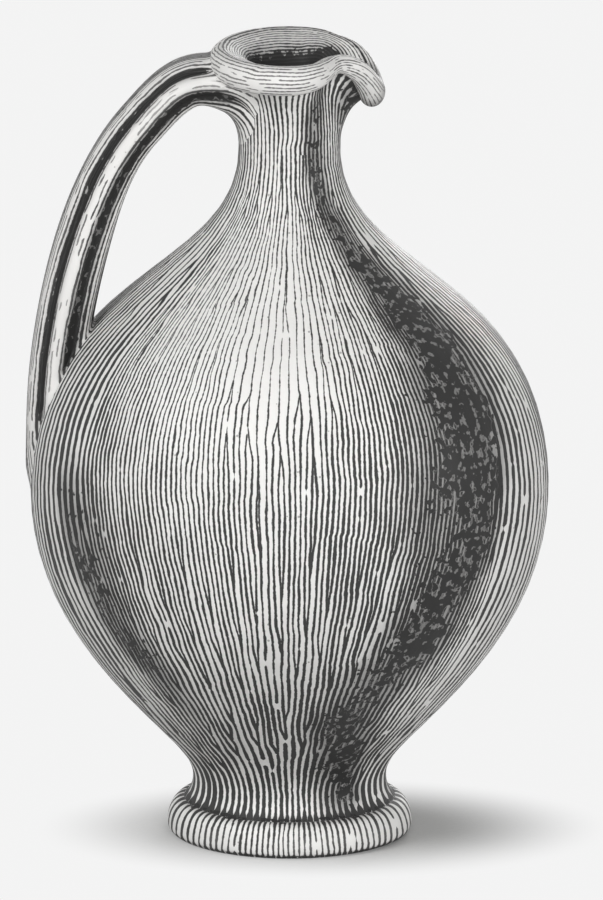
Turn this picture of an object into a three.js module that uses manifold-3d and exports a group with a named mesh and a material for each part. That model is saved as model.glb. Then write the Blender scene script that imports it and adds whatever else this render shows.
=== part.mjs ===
// Ceramic jug with an oval belly, a ring foot, a pinched pouring mouth and a reeded strap handle.
// It is thrown in sections that are luted together with clay slip. Millimetres, +Z up.
// The origin is on the turning axis, on the table. The spout points to +X and the handle to -X.
import * as THREE from 'three';
import { mergeVertices } from 'three/addons/utils/BufferGeometryUtils.js';
import Module from 'manifold-3d';

const wasm = await Module();
wasm.setup();

// Ring foot
const footRestRadius = 34.6;      // outer edge of the flat ring that stands on the table
const footRestWidth = 6.1;        // width of that flat ring
const footBandRadius = 36.8;      // widest part of the rounded band
const footBandHeight = 2.9;       // height of the widest part
const footCreaseRadius = 31.6;    // where the band meets the cove
const footCreaseHeight = 10.4;
const footCoveArm = 0.55;         // how soon the cove turns upright, as a share of its rise

// Outside of the body, from the waist above the foot to the throat of the neck
const waistRadius = 29.2;
const waistHeight = 17.06;
const flankRadius = 39.28;        // where the lower wall turns from hollow to full
const flankRise = 15.41;          // height above the waist
const flankLean = 0.977;          // radius gained for each millimetre of height
const bellyRadius = 78.05;
const bellyRise = 75.1;           // height above the flank
const shoulderRadius = 55;        // where the shoulder turns from full to hollow
const shoulderRise = 53.26;       // height above the belly
const shoulderLean = -1.088;
const neckRadius = 15.45;
const neckRise = 49.97;           // height above the shoulder
const waistArm = 0.292;           // arms of the profile curves, as shares of each curve's rise
const flankLowerArm = 0.402;
const flankUpperArm = 0.274;
const bellyLowerArm = 0.448;
const bellyUpperArm = 0.542;
const shoulderLowerArm = 0.15;
const shoulderUpperArm = 0.358;
const neckArm = 0.451;

// Clay walls and joints
const wallThickness = 4.6;
const floorThickness = 8;
const floorBlendRise = 4;         // how far above the flank the floor starts to round in
const slipThickness = 0.8;        // clay slip that lutes two pieces
const keyHeight = 1.5;            // height of the ridge on a section's rim
const bellySeamDrop = 12.5;       // seam below the widest part of the belly
const neckLength = 22.8;          // from the neck's seam to its throat
const bossRadius = 20;            // turned boss under the floor, which centres the foot ring
const bossLength = 7;
const jointGap = 0.3;             // clearance at the boss and on both faces of the handle's slip

// Pinched mouth: the middle line of its rolled lip
const lipRise = 26.2;             // height above the throat
const lipBack = 20.3;             // reach towards the handle
const lipSide = 27.8;             // half width across the two lobes
const lipFront = 24.8;            // reach towards the spout
const lipRoll = 3.75;             // half width of the rolled edge
const lipTallness = 1.2;          // its half height for each millimetre of half width
const pinchAngle = 0.785;         // angle of each pinch from the spout, radians
const pinchSpread = 0.42;
const pinchDepth = 6.2;
const pinchRise = 2.2;
const pinchThinning = 1.4;        // how much the fingers thin the roll
const beakSpread = 0.35;
const beakDroop = 9.2;
const beakSwell = 0.3;
const rollStart = 3.75;           // angle on the roll where the outer wall ends, radians
const rollEnd = 8.4;              // angle on the roll where the dished inside begins, a turn later
const wallFlare = 0.93;           // angle between the wall and the axis where it meets the roll, radians
const throatArm = 0.45;           // arms of the mouth's outer curve, as shares of its rise
const lipArm = 0.3;
const dishRun = 0.95;             // how far in the dished inside reaches, as a share of its width
const dishSlope = 0.22;           // fall of the dish for each millimetre inwards
const boreArm = 0.86;             // how far up the bore stays straight, as a share of its rise

// Strap handle: its middle line lies in the XZ plane
const handleDrop = 6.4;           // middle line below the lip's middle line
const handleRootSink = 6.4;       // how far inside the neck's radius the strap begins
const handleLevelRun = 9.7;       // level stretch beyond the lip's middle line
const handleTailSink = 7.1;       // tail's middle line inside the belly's radius
const handleTailDrop = 6;         // tail's end below the belly's widest part
const handleBend = [
  [0.341, 0.1],
  [0.567, 0.211],
  [0.795, 0.4],
  [0.96, 0.669],
];                                // points of the bend: shares of its reach and of its fall
const strapHalfWidth = 12.5;
const strapTopHalfDepth = 7.2;
const strapHalfDepth = 8.5;
const strapDepthRun = 0.5;        // share of the strap over which it deepens from the top
const gripHollow = 1.5;           // how much thinner the strap is where the fingers lie
const gripPlace = 0.33;           // share of the strap where that hollow is deepest
const gripSpread = 0.14;
const rootFlare = 7.5;            // extra depth under the strap at the neck
const rootFlareRun = 0.13;        // share of the strap that the flare takes
const rootTaper = 0.7;            // share of the width left at the start, inside the wall
const rootTaperRun = 0.06;
const tailTaper = 0.5;            // share of the width left at the tail
const tailTaperRun = 0.2;
const tailThinning = 2.0;         // depth lost at the tail, so that it dips into the belly
const tailThinningRun = 0.08;
const strapSquareness = 2.3;      // 2 is an ellipse, higher is squarer
const grooveDepth = 2.8;          // two grooves leave three reeds on the strap's back
const grooveAngle = 0.449;        // angle of a groove on the section, radians
const grooveSpread = 0.17;
const flankHollow = 1.7;          // hollow under each side reed
const flankHollowAngle = -0.32;
const flankHollowSpread = 0.2;

// Fineness of the facets
const turnSteps = 48;
const outsideSteps = 7;
const insideSteps = 4;
const footSteps = 3;
const floorSteps = 4;
const rollSteps = 8;
const strapSteps = 38;
const strapSides = 28;

// Colours of the fired clay
const clayGrey = 0xb4b1aa;
const slipGrey = 0x9d9a93;

// Heights of the stations, from the table
const flankHeight = waistHeight + flankRise;
const bellyHeight = flankHeight + bellyRise;
const shoulderHeight = bellyHeight + shoulderRise;
const neckHeight = shoulderHeight + neckRise;
const lipHeight = neckHeight + lipRise;
const footTop = waistHeight - slipThickness;
const bossBottom = footTop - bossLength;
const bellySeamHeight = bellyHeight - bellySeamDrop;
const neckSeamHeight = neckHeight - neckLength;
const mouthBase = neckHeight + slipThickness;

// Radii and clearances that follow from them
const boreRadius = neckRadius - wallThickness;
const footSocketRadius = bossRadius + jointGap;
const slipInside = jointGap;
const slipOutside = jointGap + slipThickness;
const handleSeat = jointGap + slipThickness + jointGap;
const rollTop = 2.5 * Math.PI;              // angle on the roll of its highest point
const rollTangent = 2 * Math.PI - wallFlare; // and where a wall would run into it smoothly

function bell(value, centre, spread) {
  return Math.exp(-(((value - centre) / spread) ** 2));
}

function ease(value) {
  return THREE.MathUtils.smoothstep(value, 0, 1);
}

// Profiles: a point holds the radius in x and the height in y

const upright = new THREE.Vector2(0, 1);

function profilePoint(radius, height) {
  return new THREE.Vector2(radius, height);
}

function profileCurve(start, startLean, startArm, end, endLean, endArm) {
  const rise = end.y - start.y;
  return new THREE.CubicBezierCurve(
    start,
    start.clone().addScaledVector(startLean, startArm * rise),
    end.clone().addScaledVector(endLean, -endArm * rise),
    end,
  );
}

// Points along a curve, moved to its right-hand side by a distance
function offsetPoints(curve, distance, steps) {
  const points = [];
  for (let step = 0; step <= steps; step += 1) {
    const point = curve.getPoint(step / steps);
    const along = curve.getTangent(step / steps);
    points.push(profilePoint(point.x + distance * along.y, point.y - distance * along.x));
  }
  return points;
}

const waist = profilePoint(waistRadius, waistHeight);
const flank = profilePoint(flankRadius, flankHeight);
const belly = profilePoint(bellyRadius, bellyHeight);
const shoulder = profilePoint(shoulderRadius, shoulderHeight);
const throat = profilePoint(neckRadius, neckHeight);
const flankRun = new THREE.Vector2(flankLean, 1);
const shoulderRun = new THREE.Vector2(shoulderLean, 1);

const bodyCurves = [
  profileCurve(waist, upright, waistArm, flank, flankRun, flankLowerArm),
  profileCurve(flank, flankRun, flankUpperArm, belly, upright, bellyLowerArm),
  profileCurve(belly, upright, bellyUpperArm, shoulder, shoulderRun, shoulderLowerArm),
  profileCurve(shoulder, shoulderRun, shoulderUpperArm, throat, upright, neckArm),
];

// The body's outside from the waist to the mouth's base, moved outward by a distance
function bodyLine(outward, steps) {
  const stretches = bodyCurves.map((curve) => offsetPoints(curve, outward, steps));
  const line = [stretches[0][0], ...stretches.flatMap((points) => points.slice(1))];
  line.push(profilePoint(neckRadius + outward, mouthBase));
  return line;
}

const outerLine = bodyLine(0, outsideSteps);
const innerLine = bodyLine(-wallThickness, insideSteps);

function pointAtHeight(line, height) {
  const next = Math.max(1, line.findIndex((point) => point.y >= height));
  const low = line[next - 1];
  const high = line[next];
  return low.clone().lerp(high, (height - low.y) / (high.y - low.y));
}

// The stretch of a rising line between two heights, with its exact ends
function stretch(line, low, high) {
  const between = line.filter((point) => point.y > low && point.y < high);
  return [pointAtHeight(line, low), ...between, pointAtHeight(line, high)];
}

// The crest of the ridge between the outer and the inner edge of a rim
function ridge(outer, inner) {
  return profilePoint((outer.x + inner.x) / 2, (outer.y + inner.y) / 2 + keyHeight);
}

// Solids

function indexedGeometry(positions, faces) {
  const geometry = new THREE.BufferGeometry();
  geometry.setAttribute('position', new THREE.Float32BufferAttribute(positions, 3));
  geometry.setIndex(faces);
  return geometry;
}

// A solid of revolution: the profile runs up the outside and down the inside
function turned(profile) {
  const geometry = new THREE.LatheGeometry(profile, turnSteps);
  geometry.rotateX(Math.PI / 2);
  geometry.deleteAttribute('normal');
  geometry.deleteAttribute('uv');
  return mergeVertices(geometry);
}

function turnedRing(profile) {
  return turned([...profile, profile[0]]);
}

function solidOf(geometry) {
  return new wasm.Manifold(new wasm.Mesh({
    numProp: 3,
    vertProperties: new Float32Array(geometry.getAttribute('position').array),
    triVerts: new Uint32Array(geometry.index.array),
  }));
}

function geometryOf(solid) {
  const mesh = solid.getMesh();
  return indexedGeometry(mesh.vertProperties, Array.from(mesh.triVerts));
}

// Two triangles on each cell of a grid of rows, where a row or the whole grid may close on itself
function gridFaces(rows, columns, rowsClose, columnsClose) {
  const faces = [];
  for (let row = 0; row < (rowsClose ? rows : rows - 1); row += 1) {
    for (let column = 0; column < (columnsClose ? columns : columns - 1); column += 1) {
      const nextRow = (row + 1) % rows;
      const nextColumn = (column + 1) % columns;
      const here = row * columns + column;
      const beside = nextRow * columns + column;
      const above = row * columns + nextColumn;
      const across = nextRow * columns + nextColumn;
      faces.push(here, beside, above, across, above, beside);
    }
  }
  return faces;
}

// Sections round the axis, at the same angles as a turned solid's facets
function sectionsAroundAxis(sectionAt) {
  const sections = [];
  for (let turn = 0; turn < turnSteps; turn += 1) {
    const angle = (turn / turnSteps) * 2 * Math.PI;
    const fromSpout = Math.abs(Math.atan2(-Math.cos(angle), Math.sin(angle)));
    const section = sectionAt(fromSpout);
    sections.push(section.map((point) => [point.x * Math.sin(angle), -point.x * Math.cos(angle), point.y]));
  }
  return sections;
}

// Foot ring: a flat rest, a rounded band, a cove to the waist, and a socket for the boss
function footRing() {
  const underBand = new THREE.EllipseCurve(
    footRestRadius,
    footBandHeight,
    footBandRadius - footRestRadius,
    footBandHeight,
    -Math.PI / 2,
    0,
  );
  const overBand = new THREE.EllipseCurve(
    footCreaseRadius,
    footBandHeight,
    footBandRadius - footCreaseRadius,
    footCreaseHeight - footBandHeight,
    0,
    Math.PI / 2,
  );
  const cove = new THREE.QuadraticBezierCurve(
    profilePoint(footCreaseRadius, footCreaseHeight),
    profilePoint(waistRadius, footTop - footCoveArm * (footTop - footCreaseHeight)),
    profilePoint(waistRadius, footTop),
  );
  return turnedRing([
    profilePoint(footRestRadius - footRestWidth, 0),
    ...underBand.getPoints(footSteps),
    ...overBand.getPoints(footSteps + 1).slice(1),
    ...cove.getPoints(footSteps).slice(1),
    profilePoint(footSocketRadius, footTop),
    profilePoint(footSocketRadius, bossBottom),
  ]);
}

function footSlip() {
  return turnedRing([
    profilePoint(footSocketRadius, footTop),
    profilePoint(waistRadius, footTop),
    profilePoint(waistRadius, waistHeight),
    profilePoint(footSocketRadius, waistHeight),
  ]);
}

// Lower body: a bowl with a closed floor, a boss under it and a ridged rim
function lowerBody() {
  const outside = stretch(outerLine, waistHeight, bellySeamHeight);
  const inside = stretch(innerLine, flankHeight + floorBlendRise, bellySeamHeight).reverse();
  const floorTop = waistHeight + floorThickness;
  const blend = inside.at(-1);
  const above = inside.at(-2);
  const lean = (above.x - blend.x) / (above.y - blend.y);
  const floor = new THREE.QuadraticBezierCurve(
    blend,
    profilePoint(blend.x - lean * (blend.y - floorTop), floorTop),
    profilePoint(0, floorTop),
  );
  return turned([
    profilePoint(0, bossBottom),
    profilePoint(bossRadius, bossBottom),
    profilePoint(bossRadius, waistHeight),
    ...outside,
    ridge(outside.at(-1), inside[0]),
    ...inside,
    ...floor.getPoints(floorSteps).slice(1),
  ]);
}

// A hollow section between two seams, grooved below and ridged above
function thrownSection(low, high) {
  const outside = stretch(outerLine, low, high);
  const inside = stretch(innerLine, low, high).reverse();
  return turnedRing([
    ...outside,
    ridge(outside.at(-1), inside[0]),
    ...inside,
    ridge(outside[0], inside.at(-1)),
  ]);
}

// The layer of slip over a ridged rim
function seamSlip(height) {
  const outer = pointAtHeight(outerLine, height);
  const inner = pointAtHeight(innerLine, height);
  const outerTop = pointAtHeight(outerLine, height + slipThickness);
  const innerTop = pointAtHeight(innerLine, height + slipThickness);
  return turnedRing([inner, ridge(outer, inner), outer, outerTop, ridge(outerTop, innerTop), innerTop]);
}

// Pinched mouth: two finger pinches and a drooping beak on an oval rolled lip
function lipAt(fromSpout) {
  const across = Math.sin(fromSpout);
  const along = Math.cos(fromSpout);
  const pinch = bell(fromSpout, pinchAngle, pinchSpread);
  const beak = bell(fromSpout, 0, beakSpread);
  const oval = 1 / Math.hypot(along / (along > 0 ? lipFront : lipBack), across / lipSide);
  return {
    centre: profilePoint(oval - pinchDepth * pinch, lipHeight + pinchRise * pinch - beakDroop * beak),
    radius: lipRoll - pinchThinning * pinch + beakSwell * beak,
  };
}

function onRoll(lip, angle, outward) {
  const reach = lip.radius + outward;
  const height = lipTallness * lip.radius + outward;
  return profilePoint(lip.centre.x + reach * Math.cos(angle), lip.centre.y + height * Math.sin(angle));
}

// Points on the roll between two angles, without the ends
function rollPoints(lip, from, to, outward) {
  const points = [];
  for (let step = 1; step < rollSteps; step += 1) {
    points.push(onRoll(lip, from + ((to - from) * step) / rollSteps, outward));
  }
  return points;
}

// Outer wall of the mouth, from the throat to an angle on the roll
function mouthWall(lip, rollAngle) {
  const flare = new THREE.Vector2(Math.sin(wallFlare), Math.cos(wallFlare));
  const base = profilePoint(neckRadius, mouthBase);
  return profileCurve(base, upright, throatArm, onRoll(lip, rollAngle, 0), flare, lipArm);
}

// Inside of the mouth: a shallow dish that turns down into the bore
function mouthDish(lip) {
  const rim = onRoll(lip, rollEnd, 0);
  const run = dishRun * (rim.x - boreRadius);
  return new THREE.CubicBezierCurve(
    rim,
    profilePoint(rim.x - run, rim.y - dishSlope * run),
    profilePoint(boreRadius, mouthBase + boreArm * (rim.y - mouthBase)),
    profilePoint(boreRadius, mouthBase),
  );
}

function spoutCollar() {
  const sections = sectionsAroundAxis((fromSpout) => {
    const lip = lipAt(fromSpout);
    const outside = mouthWall(lip, rollStart).getPoints(outsideSteps);
    const inside = mouthDish(lip).getPoints(insideSteps);
    const roll = rollPoints(lip, rollStart, rollEnd, 0);
    return [...outside, ...roll, ...inside, ridge(outside[0], inside.at(-1))];
  });
  const faces = gridFaces(turnSteps, sections[0].length, true, true);
  return indexedGeometry(sections.flat(2), faces);
}

// The mouth filled up to its lip and grown by a distance, to shape the handle's upper seat.
// Its wall meets the roll at the given angle.
function mouthBlank(outward, rollAngle) {
  const sections = sectionsAroundAxis((fromSpout) => {
    const lip = lipAt(fromSpout);
    const outside = offsetPoints(mouthWall(lip, rollAngle), outward, outsideSteps);
    return [...outside, ...rollPoints(lip, rollAngle, rollTop, outward), onRoll(lip, rollTop, outward)];
  });
  const columns = sections[0].length;
  const faces = gridFaces(turnSteps, columns, true, false);
  const bottom = turnSteps * columns;
  const top = bottom + 1;
  for (let turn = 0; turn < turnSteps; turn += 1) {
    const here = turn * columns;
    const beside = ((turn + 1) % turnSteps) * columns;
    faces.push(beside, here, bottom);
    faces.push(here + columns - 1, beside + columns - 1, top);
  }
  const poles = [0, 0, mouthBase, 0, 0, lipHeight + lipTallness * lipRoll + outward];
  return solidOf(indexedGeometry([...sections.flat(2), ...poles], faces));
}

// The body filled and grown by a distance, to shape the handle's lower seat
function bodyBlank(outward) {
  return solidOf(turned([
    profilePoint(0, waistHeight),
    ...bodyLine(outward, outsideSteps),
    profilePoint(0, mouthBase),
  ]));
}

// Strap handle: a reeded section carried along its middle line, from inside the mouth into the belly
function strapLine() {
  const topHeight = lipHeight - handleDrop;
  const topReach = lipBack + handleLevelRun;
  const tailHeight = bellyHeight - handleTailDrop;
  const tailReach = bellyRadius - handleTailSink;
  const bend = [[0, 0], ...handleBend, [1, 1]].map(([reachShare, fallShare]) => new THREE.Vector3(
    -THREE.MathUtils.lerp(topReach, tailReach, reachShare),
    0,
    THREE.MathUtils.lerp(topHeight, tailHeight, fallShare),
  ));
  const start = new THREE.Vector3(handleRootSink - neckRadius, 0, topHeight);
  return new THREE.CatmullRomCurve3([start, ...bend]);
}

// A point of the section: x lies across the strap and y points away from the jug
function strapPoint(angle, share) {
  const root = ease(share / rootTaperRun);
  const tail = ease((1 - share) / tailTaperRun);
  const widthShare = THREE.MathUtils.lerp(rootTaper, 1, root) * THREE.MathUtils.lerp(tailTaper, 1, tail);
  const depth = THREE.MathUtils.lerp(strapTopHalfDepth, strapHalfDepth, ease(share / strapDepthRun));
  const thinning = tailThinning * (1 - ease((1 - share) / tailThinningRun));
  const flare = rootFlare * Math.max(0, 1 - share / rootFlareRun) ** 2;
  const grip = gripHollow * bell(share, gripPlace, gripSpread);
  const halfDepth = Math.sin(angle) > 0 ? depth - thinning : depth + flare - grip;
  const halfWidth = strapHalfWidth * widthShare;
  const acrossPart = Math.abs(Math.cos(angle) / halfWidth) ** strapSquareness;
  const outPart = Math.abs(Math.sin(angle) / halfDepth) ** strapSquareness;
  const side = Math.cos(angle) < 0 ? Math.PI - angle : angle;
  const cut = grooveDepth * bell(side, grooveAngle, grooveSpread)
    + flankHollow * bell(side, flankHollowAngle, flankHollowSpread);
  const reach = (acrossPart + outPart) ** (-1 / strapSquareness) - cut * root * tail;
  return new THREE.Vector2(reach * Math.cos(angle), reach * Math.sin(angle));
}

function strapBlank() {
  const line = strapLine();
  const positions = [];
  for (let step = 0; step <= strapSteps; step += 1) {
    const share = step / strapSteps;
    const middle = line.getPointAt(share);
    const along = line.getTangentAt(share);
    for (let side = 0; side < strapSides; side += 1) {
      const point = strapPoint(-Math.PI / 2 + (side / strapSides) * 2 * Math.PI, share);
      positions.push(middle.x + point.y * along.z, point.x, middle.z - point.y * along.x);
    }
  }
  const rings = strapSteps + 1;
  const faces = gridFaces(rings, strapSides, false, true);
  const start = rings * strapSides;
  const end = start + 1;
  for (let side = 0; side < strapSides; side += 1) {
    const next = (side + 1) % strapSides;
    faces.push(start, side, next);
    faces.push(end, (rings - 1) * strapSides + next, (rings - 1) * strapSides + side);
  }
  positions.push(...line.getPointAt(0), ...line.getPointAt(1));
  return solidOf(indexedGeometry(positions, faces));
}

const strap = strapBlank();

function handleStrap() {
  const lowerCut = strap.subtract(bodyBlank(handleSeat));
  return geometryOf(lowerCut.subtract(mouthBlank(handleSeat, rollTangent)));
}

// Pads of slip between the handle and its two seats: the upper one fills the corner under the roll
function handleTopSlip() {
  const layer = mouthBlank(slipOutside, rollTangent).subtract(mouthBlank(slipInside, rollStart));
  return geometryOf(strap.intersect(layer));
}

function handleRootSlip() {
  const layer = bodyBlank(slipOutside).subtract(bodyBlank(slipInside));
  return geometryOf(strap.intersect(layer));
}

// Assembly

const jug = new THREE.Group();

function addPiece(name, geometry, color) {
  const material = new THREE.MeshStandardMaterial({ color, roughness: 0.62, metalness: 0 });
  const piece = new THREE.Mesh(geometry, material);
  piece.name = name;
  jug.add(piece);
}

addPiece('foot_ring', footRing(), clayGrey);
addPiece('foot_slip', footSlip(), slipGrey);
addPiece('lower_body', lowerBody(), clayGrey);
addPiece('belly_slip', seamSlip(bellySeamHeight), slipGrey);
addPiece('upper_body', thrownSection(bellySeamHeight + slipThickness, neckSeamHeight), clayGrey);
addPiece('neck_slip', seamSlip(neckSeamHeight), slipGrey);
addPiece('neck', thrownSection(neckSeamHeight + slipThickness, neckHeight), clayGrey);
addPiece('collar_slip', seamSlip(neckHeight), slipGrey);
addPiece('spout_collar', spoutCollar(), clayGrey);
addPiece('handle_strap', handleStrap(), clayGrey);
addPiece('handle_top_slip', handleTopSlip(), slipGrey);
addPiece('handle_root_slip', handleRootSlip(), slipGrey);

export default jug;
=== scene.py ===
import math

import bpy
import numpy as np
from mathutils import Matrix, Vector


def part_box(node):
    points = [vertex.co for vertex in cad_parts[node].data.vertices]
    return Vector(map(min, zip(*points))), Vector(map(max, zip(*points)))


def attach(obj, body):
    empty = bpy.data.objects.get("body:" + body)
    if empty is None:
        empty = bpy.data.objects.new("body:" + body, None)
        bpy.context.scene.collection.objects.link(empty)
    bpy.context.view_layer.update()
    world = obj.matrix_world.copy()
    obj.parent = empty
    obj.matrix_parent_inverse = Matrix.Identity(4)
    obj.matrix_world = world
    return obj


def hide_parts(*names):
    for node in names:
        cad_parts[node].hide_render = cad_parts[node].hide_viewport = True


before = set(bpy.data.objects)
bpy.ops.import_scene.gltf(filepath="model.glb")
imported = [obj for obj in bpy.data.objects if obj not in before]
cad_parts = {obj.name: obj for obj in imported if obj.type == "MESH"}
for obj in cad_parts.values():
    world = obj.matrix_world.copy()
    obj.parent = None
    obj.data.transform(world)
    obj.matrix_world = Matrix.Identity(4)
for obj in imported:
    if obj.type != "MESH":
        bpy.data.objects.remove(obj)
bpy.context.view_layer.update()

# All sizes are millimetres up to the floor, light and camera, and meshes are made in metres
MM = 0.001


def lowest(node):
    """The lowest corner of a node's box, in millimetres."""
    return np.array(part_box(node)[0]) / MM


def highest(node):
    """The highest corner of a node's box, in millimetres."""
    return np.array(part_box(node)[1]) / MM


# Sizes that the frame gives
FOOT_TOP = highest("foot_ring")[2]
FOOT_BAND_RADIUS = highest("foot_ring")[0]
WAIST_RADIUS = highest("foot_slip")[0]
WAIST_HEIGHT = highest("foot_slip")[2]
SLIP_THICKNESS = WAIST_HEIGHT - FOOT_TOP
BOSS_BOTTOM = lowest("lower_body")[2]
BELLY_RADIUS = highest("upper_body")[1]
BELLY_SEAM = lowest("belly_slip")[2]
NECK_SEAM = lowest("neck_slip")[2]
NECK_RADIUS = highest("collar_slip")[0]
NECK_HEIGHT = lowest("collar_slip")[2]
MOUTH_BASE = lowest("spout_collar")[2]

# Ring foot
FOOT_REST_RADIUS = 34.6
FOOT_REST_WIDTH = 6.1
FOOT_REST_PLACES = (0.6, 2.0, 4.0)
FOOT_BAND_HEIGHT = 2.9
FOOT_CREASE_RADIUS = 31.6
FOOT_CREASE_HEIGHT = 10.4
FOOT_COVE_ARM = 0.55
FOOT_UNDER_ROWS = 24
FOOT_OVER_ROWS = 32
FOOT_COVE_ROWS = 24
FOOT_SLOPE_SHARES = np.linspace(0.1, 0.95, 10)
BOSS_RADIUS = 20.0
BOSS_POLE_RADIUS = 2.0
SOCKET_RADIUS = 20.3
# Its shade in the crease and under the band, and its wear on the band and the rest
CREASE_SHADE = 0.75
CREASE_SHADE_LIFT = 0.4
CREASE_SHADE_RISE = 1.1
UNDER_BAND_SHADE = 0.8
UNDER_BAND_HEIGHT = 1.9
BAND_WEAR = 0.3
BAND_WEAR_LIFT = 1.5
BAND_WEAR_RISE = 3.0
REST_WEAR_RISE = 0.4

# Body profile: heights rise from station to station, and arms are shares of each rise
FLANK_RADIUS = 39.28
FLANK_RISE = 15.41
FLANK_LEAN = 0.977
BELLY_RISE = 75.1
SHOULDER_RADIUS = 55.0
SHOULDER_RISE = 53.26
SHOULDER_LEAN = -1.088
FLANK_HEIGHT = WAIST_HEIGHT + FLANK_RISE
BELLY_HEIGHT = FLANK_HEIGHT + BELLY_RISE
SHOULDER_HEIGHT = BELLY_HEIGHT + SHOULDER_RISE
WAIST_ARM = 0.292
FLANK_LOWER_ARM = 0.402
FLANK_UPPER_ARM = 0.274
BELLY_LOWER_ARM = 0.448
BELLY_UPPER_ARM = 0.542
SHOULDER_LOWER_ARM = 0.15
SHOULDER_UPPER_ARM = 0.358
NECK_ARM = 0.451
WALL = 4.6
FLOOR_THICKNESS = 8.0
FLOOR_BLEND_RISE = 4.0
FLOOR_ROWS = 16
FLOOR_TOP = WAIST_HEIGHT + FLOOR_THICKNESS
FLOOR_BLEND = FLANK_HEIGHT + FLOOR_BLEND_RISE
KEY_HEIGHT = 1.5

# Marks of the hand: the depth of each kind, and the rise over which it drifts and sways
RING_DEPTH = 0.035
RING_PITCH = 6.4
RING_DRIFT = 1.4
RING_DRIFT_RISE = 19
RING_SWAY = 0.7
RING_SWAY_RISE = 11
FACET_DEPTH = 0.045
FACET_SWAY = 1.6
FACET_SWAY_RISE = 31
DENT_DEPTH = 0.07
DENT_RISE = 27
DENT_CROSS_RISE = 16
OVAL_DEPTH = 0.1
OVAL_TURN = 0.7
# They start this far below the foot's top and reach their depth over a run
MARKS_START = 4
MARKS_RUN = 12

# Pinched mouth
LIP_RISE = 26.2
LIP_HEIGHT = NECK_HEIGHT + LIP_RISE
LIP_BACK = 20.3
LIP_SIDE = 27.8
LIP_FRONT = 24.8
LIP_ROLL = 3.75
LIP_TALLNESS = 1.2
PINCH_ANGLE = 0.785
PINCH_SPREAD = 0.42
PINCH_DEPTH = 6.2
PINCH_RISE = 2.2
PINCH_THINNING = 1.4
BEAK_SPREAD = 0.35
BEAK_DROOP = 9.2
BEAK_SWELL = 0.3
ROLL_START = 3.75
ROLL_END = 8.4
WALL_FLARE = 0.93
WALL_MARKS_FADE = 0.25
THROAT_ARM = 0.45
LIP_ARM = 0.3
DISH_RUN = 0.95
DISH_SLOPE = 0.22
BORE_ARM = 0.86
COLLAR_WALL_ROWS = 40
COLLAR_ROLL_ROWS = 56
COLLAR_DISH_ROWS = 48
# Its shade under the lip, on the roll's crest and down the throat, sooner along the pouring channel
UNDER_LIP_SHADE = 0.6
UNDER_LIP_START = 0.85
UNDER_LIP_RUN = 0.15
CREST_SHADE = 0.85
CREST_ANGLE = 2.55 * np.pi
CREST_SPREAD = 0.2
CHANNEL_SPREAD = 0.3
THROAT_SHADE_START = 0.12
THROAT_SHADE_RUN = 0.4
CHANNEL_SHADE_LEAD = 0.1
CHANNEL_SHADE_LOSS = 0.2
# Its painted shade on the beak, its wear on the lip, and where the burnish ends down the dish
BEAK_SHADE_SPREAD = 0.28
BEAK_SHADE_FRONT = 4
BEAK_SHADE_DEPTH = 0.1
LIP_WEAR = 0.8
LIP_WEAR_PLACE = 0.5
LIP_WEAR_SPREAD = 0.3
DISH_BURNISH_END = 0.35
DISH_BURNISH_RUN = 0.4

# Strap handle
HANDLE_DROP = 6.4
HANDLE_INSET = 6.4
HANDLE_LEVEL_RUN = 9.7
TAIL_INSET = 7.1
TAIL_DROP = 6.0
HANDLE_TOP = LIP_HEIGHT - HANDLE_DROP
HANDLE_START = NECK_RADIUS - HANDLE_INSET
HANDLE_LEVEL_END = LIP_BACK + HANDLE_LEVEL_RUN
HANDLE_TAIL_REACH = BELLY_RADIUS - TAIL_INSET
HANDLE_TAIL_HEIGHT = BELLY_HEIGHT - TAIL_DROP
HANDLE_BEND = ((0.341, 0.1), (0.567, 0.211), (0.795, 0.4), (0.96, 0.669))
STRAP_HALF_WIDTH = 12.5
STRAP_TOP_HALF_DEPTH = 7.2
STRAP_HALF_DEPTH = 8.5
STRAP_DEPTH_RUN = 0.5
GRIP_HOLLOW = 1.5
GRIP_PLACE = 0.33
GRIP_SPREAD = 0.14
ROOT_FLARE = 7.5
ROOT_FLARE_RUN = 0.13
ROOT_TAPER = 0.7
ROOT_TAPER_RUN = 0.06
TAIL_TAPER = 0.5
TAIL_TAPER_RUN = 0.2
TAIL_THINNING = 2.0
TAIL_THINNING_RUN = 0.08
STRAP_SQUARENESS = 2.3
GROOVE_DEPTH = 2.8
GROOVE_ANGLE = 0.449
GROOVE_SPREAD = 0.17
FLANK_HOLLOW = 1.7
FLANK_HOLLOW_ANGLE = -0.32
FLANK_HOLLOW_SPREAD = 0.2
STRAP_END_DEPTH = 2.0
# Its shade in the grooves and its wear on the reeds, by the angle of the section
GROOVE_SHADE = 1.25
REED_WEAR = 0.6
REED_ANGLE = 0.8
REED_SPREAD = 0.15
SIDE_REED_WEAR = 1.4
SIDE_REED_ANGLE = 0.13
SIDE_REED_SPREAD = 0.14
# Its painted shade all over, on the flanks, on the back and on the underside
STRAP_SHADE = 0.15
FLANK_SHADE = 0.95
FLANK_SHADE_ANGLE = -0.27
FLANK_SHADE_SPREAD = 0.25
BACK_SHADE = 0.85
BACK_SHADE_ANGLE = 0.95
BACK_SHADE_RUN = 0.3
UNDER_SHADE_ANGLE = -0.75
UNDER_SHADE_RUN = 0.25

# Slip smeared at the handle's ends: how far it stands off the strap and sinks into strap and jug
SMEAR_LIFT = 0.02
SMEAR_EDGE_DEPTH = 0.12
SMEAR_JUG_DEPTH = 1.2
SMEAR_STRAP_DEPTH = 0.8
SMEAR_HOLD = 0.75
SMEAR_SMOOTHING = 5
# The place of its sunk point along the strokes, as a share of its reach
SMEAR_SUNK_PLACE = 1.1
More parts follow.
